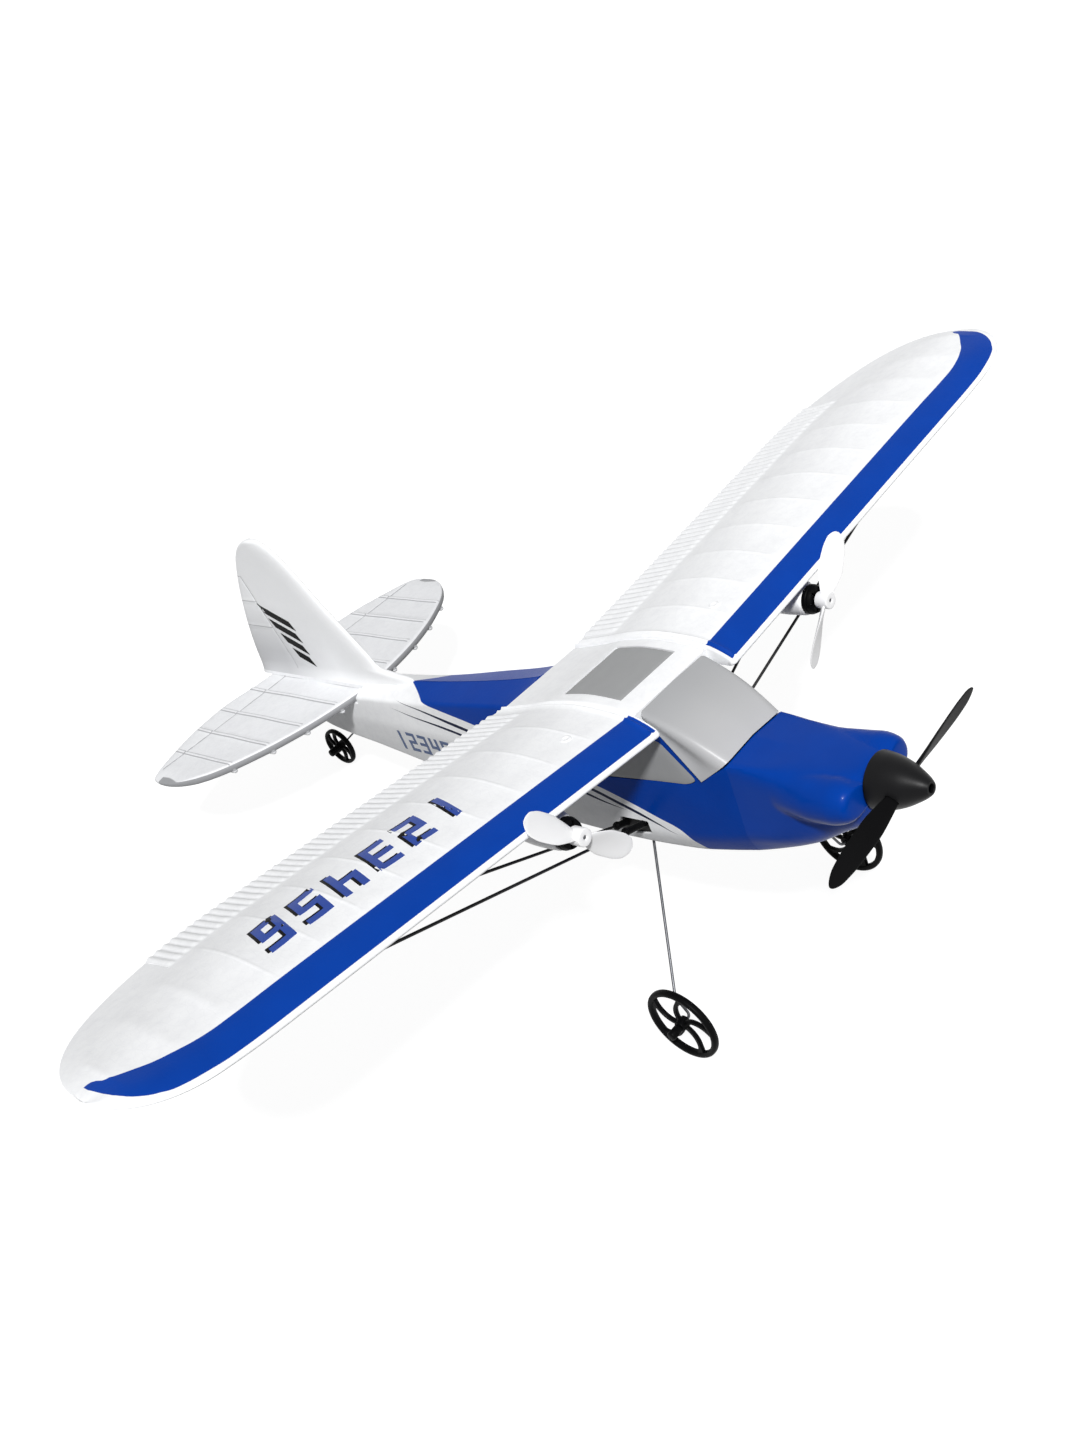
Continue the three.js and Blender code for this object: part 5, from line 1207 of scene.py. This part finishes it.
def softened(value, reach):
    return copysign(abs(value) ** 0.75, value) * reach


def spoked_wheel(name, centre, radius, width, rim, hub_radius, hub_width, spokes, bore):
    half = width / 2
    tyre = [(radius - rim / 2 + softened(c, rim / 2), softened(s, half)) for c, s in circle(16)]
    made = lathe(name, tyre, centre, "X", 80, 50)
    hub = rounded(sleeve(bore, hub_radius, -hub_width / 2, hub_width / 2), 0.25)
    pieces = [lathe("hub", hub, centre, "X", 32)]
    for k in range(spokes):
        angle = tau * k / spokes
        way, swept = (Vector((cos(a), sin(a))) for a in (angle, angle + radians(38)))
        inner, middle, outer = way * hub_radius * 0.8, way * radius * 0.55, swept * (radius - rim * 0.6)
        rings = []
        for t in spread(0, 1, 12):
            point = inner * (1 - t) ** 2 + middle * 2 * t * (1 - t) + outer * t * t
            tangent = ((middle - inner) * (1 - t) + (outer - middle) * t).normalized()
            normal = Vector((-tangent.y, tangent.x))
            reach = 0.55 * (1 + 0.25 * t + 1.6 * max(0.0, t - 0.72) ** 1.4 * 6)
            ring = []
            for a, b in SPOKE_SECTION:
                flat = point + normal * reach * a
                ring.append((centre[0] + half * 0.6 * b, centre[1] + flat.x, centre[2] + flat.y))
            rings.append(ring)
        pieces.append(loft(f"spoke_{k}", rings))
    return combine(made, pieces, "UNION", 40)


def retainer(name, start, end, axle, bore):
    """A sleeve on the axle's end, closed at end."""
    way = copysign(1, end - start)
    profile = [
        (bore, start), (1.4, start), (1.5, start + way * 0.15), (1.5, end - way * 0.5),
        (1.3, end - way * 0.15), (0.9, end), (0.0001, end), (0.0001, end - way * 0.8),
        (bore, end - way * 0.8),
    ]
    return lathe(name, profile, (0, *axle[1:]), "X", 28, 40)


for side_name, side in SIDES:
    centre = (side * 46.3, *MAIN_AXLE[1:])
    wheel = spoked_wheel(f"wheel_{side_name}_rim", centre, 12.95, 2.4, 2.0, 1.9, 3.6, 5, 0.5)
    dress(wheel, BLACK, f"main_wheel_{side_name}", body=f"wheel_{side_name}")
    cap = retainer(f"axle_end_{side_name}", side * 48.4, side * 52.5, MAIN_AXLE, 0.6)
    dress(cap, BLACK, f"main_wheel_retainer_{side_name}")
wheel = spoked_wheel("tail_wheel_rim", TAIL_AXLE, 8.0, 2.0, 1.5, 1.7, 3.2, 6, 0.45)
dress(wheel, BLACK, "tail_wheel", body="wheel_tail")
dress(retainer("tail_axle_end", -1.9, -5.5, TAIL_AXLE, 0.55), BLACK, "tail_wheel_retainer")


# Undercarriage wires and struts; each strut's socket in the mount has its own length
STRUTS = (
    ("front", (10, 17.4, -45.6), (149.2, 1.4, 9), 17), ("rear", (8.5, 25.5, -48.1), (140.8, 24.6, 8.6), 13),
)


def bent_path(points, reach=1.6):
    path = [Vector(points[0])]
    for before, corner, after in zip(points, points[1:], points[2:]):
        path += fillet(before, corner, after, reach, 7)
    return path + [Vector(points[-1])]


def strut_line(strut, side, start, end):
    """The part of a strut's line between two distances from its root; below 0, from its tip."""
    root, tip = Vector(strut[1]), Vector(strut[2])
    way = (tip - root).normalized()
    return mirrored([
        root + way * (distance if distance >= 0 else (tip - root).length + distance)
        for distance in (start, end)
    ], side)


for side_name, side in SIDES:
    x, y, z = MAIN_AXLE
    path = bent_path([(side * 4.3, 25.3, -44.5), leg_line(side)[1], (side * x, y, z), (side * 51.4, y, z)])
    dress(tube(f"leg_{side_name}", path, 0.46), STEEL, f"gear_leg_{side_name}")
    for strut in STRUTS:
        place = f"{strut[0]}_{side_name}"
        dress(tube(f"rod_{place}", strut_line(strut, side, 0.3, -0.9), 0.48), CARBON, f"strut_{place}")
path = bent_path([*TAIL_WIRE, (-4.4, *TAIL_AXLE[1:])], 1.2)
dress(tube("tail_wire", path, 0.35), STEEL, "tail_wheel_wire")


# Tailplane and fin
def edge_round(distance, half, reach):
    """Half thickness of a plate with rounded edges at a distance from its edge."""
    if distance >= reach:
        return half
    share = 1 - distance / reach
    return half * sqrt(max(0.0, 1 - share * share))


def rib_ends(start, end):
    return TAIL_Y + start * TAIL_L - 1.0, TAIL_Y + end * TAIL_L


def stabilizer():
    xs = set(spread(-66, 66, 45))
    xs |= {side * (72 - 6 * (1 - s) ** 2) for side in (1, -1) for s in spread(0, 0.95, 14)}
    for share, _, _ in TAIL_RIBS:
        steps = (-0.9, -0.7, -0.45, 0, 0.45, 0.7, 0.9)
        xs |= {side * (share * TAIL_HALF + d) for side in (1, -1) for d in steps}
    rings = []
    shares = [0, 0.004, 0.012, 0.025, 0.045, 0.08] + spread(0.11, 0.89, 44)
    shares += [0.92, 0.955, 0.975, 0.988, 0.996, 1]
    for x in sorted(xs):
        w = sqrt(max(0.0, 1 - abs(x) / TAIL_HALF))
        front, rear = TAIL_Y + tail_front(w) * TAIL_L, TAIL_Y + tail_rear(w) * TAIL_L
        upper, lower = [], []
        for share in shares:
            y = front + share * (rear - front)
            inward = min(y - front, rear - y)
            reach = 1.1 if y - front < rear - y else 2.2
            half = edge_round(inward, TAIL_T / 2, reach) * min(1.0, 0.25 + w * 2.6)
            rib = 0.0
            for place, start, end in TAIL_RIBS:
                near = bell(abs(x) - place * TAIL_HALF, 0.8)
                first, last = rib_ends(start, end)
                if near > 0 and first < y < last:
                    rib = max(rib, 0.42 * near ** 0.5 * min(1.0, (y - first) / 0.8, (last - y) / 0.8))
            hinge = 0.2 * bell(y - TAIL_HINGE_Y, 0.9) if 3 < abs(x) < 68 else 0.0
            dent = 0.22 * sin(pi * min(1.0, inward / 26))
            upper.append((x, y, TAIL_Z + half + rib - hinge - dent * (inward > 1)))
            lower.append((x, y, TAIL_Z - half - rib + hinge * 0.6))
        rings.append(upper + list(reversed(lower[1:-1])))
    made = loft("tailplane", rings, 50)
    ends = []
    for place, _, _ in TAIL_RIBS:
        y = TAIL_Y + tail_front(sqrt(1 - place)) * TAIL_L + 1.0
        for side in (1, -1):
            x = side * place * TAIL_HALF
            path = [(x, y - 1.3, TAIL_Z - 1.5), (x, y + 3.4, TAIL_Z - 1.7)]
            ends.append(tube("rib_end", path, 0.95, 12, 0.7))
    combine(made, ends, "UNION", 50)
    combine(made, [block("tab", -1.9, 1.9, 173.7, 196.3, -28, -15)], smooth=50)
    dress(made, TAIL_FOAM, "stabilizer")


def fin_edges(up):
    return FIN_Y + fin_front(up) * FIN_L, FIN_Y + fin_rear(up) * FIN_L


def fin_half(y, up):
    """Half the fin's thickness: full along the rudder, falling away to a rounded leading edge."""
    front, rear = fin_edges(up)
    inward = min(y - front, rear - y)
    ahead = min(1.0, max(0.0, (y - front) / 13))
    half = FIN_T / 2 * max(0.0, 1 - (1 - ahead) ** 2.6) ** (1 / 2.6)
    half = min(half, edge_round(max(0.0, rear - y), FIN_T / 2, 2.2)) * min(1.0, 0.3 + sqrt(1 - up) * 6)
    flare = 1.9 * max(0.0, 1 - up / 0.1) ** 2.2 * min(1.0, max(0.0, inward) / 4)
    hinge = FIN_HINGE_Y + FIN_HINGE_LEAN * (FIN_Z + up * FIN_H)
    groove = 0.2 * bell(y - hinge, 0.9) * (0.06 < up < FIN_RIB_LEVELS[-1])
    rib = 0.22 * max(bell((up - level) * FIN_H, 0.9) for level in FIN_RIB_LEVELS)
    return half + flare - groove + rib * (hinge < y < rear - 1.6)


def fin():
    heights = spread(0.0, 0.14, 15) + spread(0.155, 0.9, 64)
    heights += [0.92, 0.94, 0.955, 0.968, 0.978, 0.986, 0.992, 0.996, 0.999]
    shares = [0, 0.003, 0.009, 0.02, 0.035] + spread(0.055, 0.945, 72) + [0.965, 0.98, 0.991, 0.997, 1]
    rings = []
    for up in heights:
        front, rear = fin_edges(up)
        ys = [front + share * (rear - front) for share in shares]
        rings.append(mirror_ring([(fin_half(y, up), y, FIN_Z + up * FIN_H) for y in ys]))
    made = loft("fin_blade", rings, 50)
    tab = block("fin_tab", -1.6, 1.6, 174, 196, -26.9, -16)
    bevel = tab.modifiers.new("bevel", "BEVEL")
    bevel.width = 0.3 * MM
    bevel.segments = 2
    bevel.limit_method = "ANGLE"
    bevel.angle_limit = radians(30)
    combine(made, [bake(tab)], "UNION", 50)
    dress(made, TAIL_FOAM, "fin")


stabilizer()
fin()


# The black block across the belly that holds the struts and the undercarriage
def strut_mount():
    def hull(name, inset):
        return loft(name, [mirror_ring(body_half(y, inset)) for y in spread(8, 36, 12)])

    flush, inside = hull("flush", 0.7), hull("inside", 3.6)
    ears = prism("mount", rounded(grown(RECESS, -0.3), 0.5), -20, 20)
    combine(ears, [flush], "INTERSECT")
    core = block("core", -9.2, 9.2, 14.5, 30, -52.9, -42.6)
    combine(core, [inside], "INTERSECT")
    additions, bores = [core], []
    for side_name, side in SIDES:
        for strut in STRUTS:
            socket = strut[3]
            additions.append(tube("socket", strut_line(strut, side, 2.0, socket), 1.15, 16, 0.25))
            additions.append(tube("lip", strut_line(strut, side, socket - 1.6, socket - 0.5), 1.4, 16, 0.2))
            bores.append(tube("bore", strut_line(strut, side, 0, socket + 3), 0.55, 12, 0))
        bores.append(tube("bore", leg_line(side), 0.6, 12, 0))
    combine(ears, additions, "UNION")
    combine(ears, bores)
    dress(ears, BLACK, "strut_mount")


strut_mount()


# Plain numbers and bars
DIGITS = {"2": "abged", "3": "abgcd", "5": "afgcd", "6": "afgedc"}


def digit_bars(digit, width, height, stroke):
    """The bars of a plain digit as (u0, v0, u1, v1), from its lower left corner."""
    middle, half, right = height / 2, stroke / 2, width - stroke
    places = {
        "a": (0, height - stroke, width, height), "g": (0, middle - half, width, middle + half),
        "d": (0, 0, width, stroke), "f": (0, middle + half, stroke, height - stroke),
        "b": (right, middle + half, width, height - stroke), "e": (0, stroke, stroke, middle - half),
        "c": (right, stroke, width, middle - half),
    }
    if digit == "1":
        return [(right / 2, 0, (width + stroke) / 2, height)]
    if digit == "4":
        return [(0, middle + half, stroke, height), (right, middle + half, width, height),
                places["g"], (right, 0, width, middle - half)]
    return [places[key] for key in DIGITS[digit]]


def number_bars(width, height, stroke, pitch):
    bars = []
    for k, digit in enumerate("123456"):
        for u0, v0, u1, v1 in digit_bars(digit, width, height, stroke):
            bars.append((k * pitch + u0, v0, k * pitch + u1, v1))
    return bars


def decal(name, bars, where, finish, cells=6):
    """Thin plates over bars given in (u, v), laid on a surface: where(u, v, lift) gives a point."""
    points, faces = [], []
    layer = cells * cells
    for u0, v0, u1, v1 in bars:
        base = len(points)
        for lift in (0.07, -0.12):
            points += [where(u, v, lift) for v in spread(v0, v1, cells) for u in spread(u0, u1, cells)]
        for j in range(cells - 1):
            for i in range(cells - 1):
                a = base + j * cells + i
                b = a + layer
                faces += [(a, a + 1, a + 1 + cells, a + cells), (b, b + cells, b + cells + 1, b + 1)]
        rim = list(range(cells)) + [j * cells + cells - 1 for j in range(1, cells)]
        rim += [layer - 1 - i for i in range(1, cells)] + [j * cells for j in range(cells - 2, 0, -1)]
        for a, b in zip(rim, rim[1:] + rim[:1]):
            faces.append((base + a, base + b, base + b + layer, base + a + layer))
    dress(mesh_object(name, points, faces, 30), finish)


def wing_digits():
    width, height, stroke = 8.2, 14.5, 2.3
    for tone, finish, offset, lift in (("shade", BLACK, 0.75, 0.0), ("face", WING_PAINT, 0.0, 0.05)):
        def where(u, v, up):
            x = -71.8 - u - 0.22 * (v - height / 2) - offset
            y = 18.4 - (v - height / 2) + offset
            return (x, y, wing_top(x, y) + up + lift)

        decal(f"wing_numbers_{tone}", number_bars(width, height, stroke, 12.3), where, finish)


def side_digits(side_name, side):
    width, height, stroke = 5.0, 9.4, 1.5

    def where(u, v, up):
        run = u + 0.22 * (v - height / 2)
        y = 142.5 - run if side < 0 else 103.0 + run
        top, foot = (Vector(corner) for corner in body_corners(y)[2:4])
        down = (foot - top).normalized()
        spot = top + down * (1.7 + height - v) + Vector((-down.y, down.x)) * (up - 0.02)
        return (side * spot.x, y, spot.y)

    decal(f"side_numbers_{side_name}", number_bars(width, height, stroke, 6.9), where, NAVY)


def fin_bars(side_name, side):
    def where(u, v, up):
        y = 207.0 - u - v * 0.62
        z = 13.5 - v * 1.18 - u * 0.42
        return (side * (fin_half(y, (z - FIN_Z) / FIN_H) + up), y, z)

    bars = [(0, 5.4 * k, 16.5 - 2.6 * k, 5.4 * k + 3.4) for k in range(4)]
    decal(f"fin_bars_{side_name}", bars, where, BLACK, cells=8)


wing_digits()
for side_name, side in SIDES:
    side_digits(side_name, side)
    fin_bars(side_name, side)


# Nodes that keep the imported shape, with a detailed material
ANCHORS = [f"strut_anchor_{strut[0]}_{side_name}" for strut in STRUTS for side_name, _ in SIDES]
for finish, nodes in (
    (BODY_FOAM, ["battery_hatch"]), (BLACK, ["equipment_tray", *ANCHORS]),
    (BRASS, ["nose_bearing", "nose_shaft_collar"]),
    (STEEL, ["nose_shaft", "motor_shaft_left", "motor_shaft_right", "hatch_hinge_pin"]),
    (CAN, ["motor_left", "motor_right"]), (WRAP, ["battery"]), (BOARD, ["control_board"]),
    (TAPE, ["board_tape_pad"]), (WHITE_PLASTIC, ["battery_socket", "battery_plug"]),
    (RED_WIRE, ["battery_lead_red", "motor_lead_left", "motor_lead_right"]),
    (BLACK_WIRE, ["battery_lead_black"]),
):
    for node in nodes:
        coat(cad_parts[node], finish)


# Floor, backdrop and light
FLOOR_REACH = 6.0
FLOOR_DROP = 0.0004
FLOOR_GLOW = 0.93
AMBIENT = 0.13


def set_stage():
    mesh = bpy.data.meshes.new("floor")
    corners = [(-1, -1), (1, -1), (1, 1), (-1, 1)]
    mesh.from_pydata([(x * FLOOR_REACH, y * FLOOR_REACH, 0) for x, y in corners], [], [(0, 1, 2, 3)])
    floor = linked(bpy.data.objects.new("floor", mesh))
    floor.location.z = -FLOOR_DROP
    mat = Finish("floor", Roughness=0.9, Base_Color=(0.2, 0.2, 0.2, 1), Emission_Color=(1, 1, 1, 1))
    path = mat.node("ShaderNodeLightPath")
    seen = mat.calc("MAXIMUM", path.outputs["Is Camera Ray"], path.outputs["Is Glossy Ray"])
    mat.feed(mat.shader.inputs["Emission Strength"], mat.times(seen, FLOOR_GLOW))
    mesh.materials.append(mat.material)


def set_world():
    world = bpy.data.worlds.new("studio")
    world.use_nodes = True
    tree = world.node_tree
    ground = tree.nodes["Background"]
    ground.inputs["Color"].default_value = (1, 1, 1, 1)
    path, level, seen = (
        tree.nodes.new(kind) for kind in ("ShaderNodeLightPath", "ShaderNodeMapRange", "ShaderNodeMath")
    )
    level.inputs["To Min"].default_value = AMBIENT
    level.inputs["To Max"].default_value = 1.0
    seen.operation = "MAXIMUM"
    tree.links.new(path.outputs["Is Camera Ray"], seen.inputs[0])
    tree.links.new(path.outputs["Is Glossy Ray"], seen.inputs[1])
    tree.links.new(seen.outputs[0], level.inputs["Value"])
    tree.links.new(level.outputs[0], ground.inputs["Strength"])
    bpy.context.scene.world = world


def set_lamps():
    sun = bpy.data.lights.new("key", "SUN")
    sun.energy = 3.75
    sun.angle = radians(6)
    lamp = linked(bpy.data.objects.new("key", sun))
    lamp.rotation_mode = "QUATERNION"
    lamp.rotation_quaternion = (TURN.to_3x3() @ Vector((0.55, 0.84, -1.0))).to_track_quat("-Z", "Y")


set_stage()
set_world()
set_lamps()
bpy.context.scene.view_settings.view_transform = "Standard"
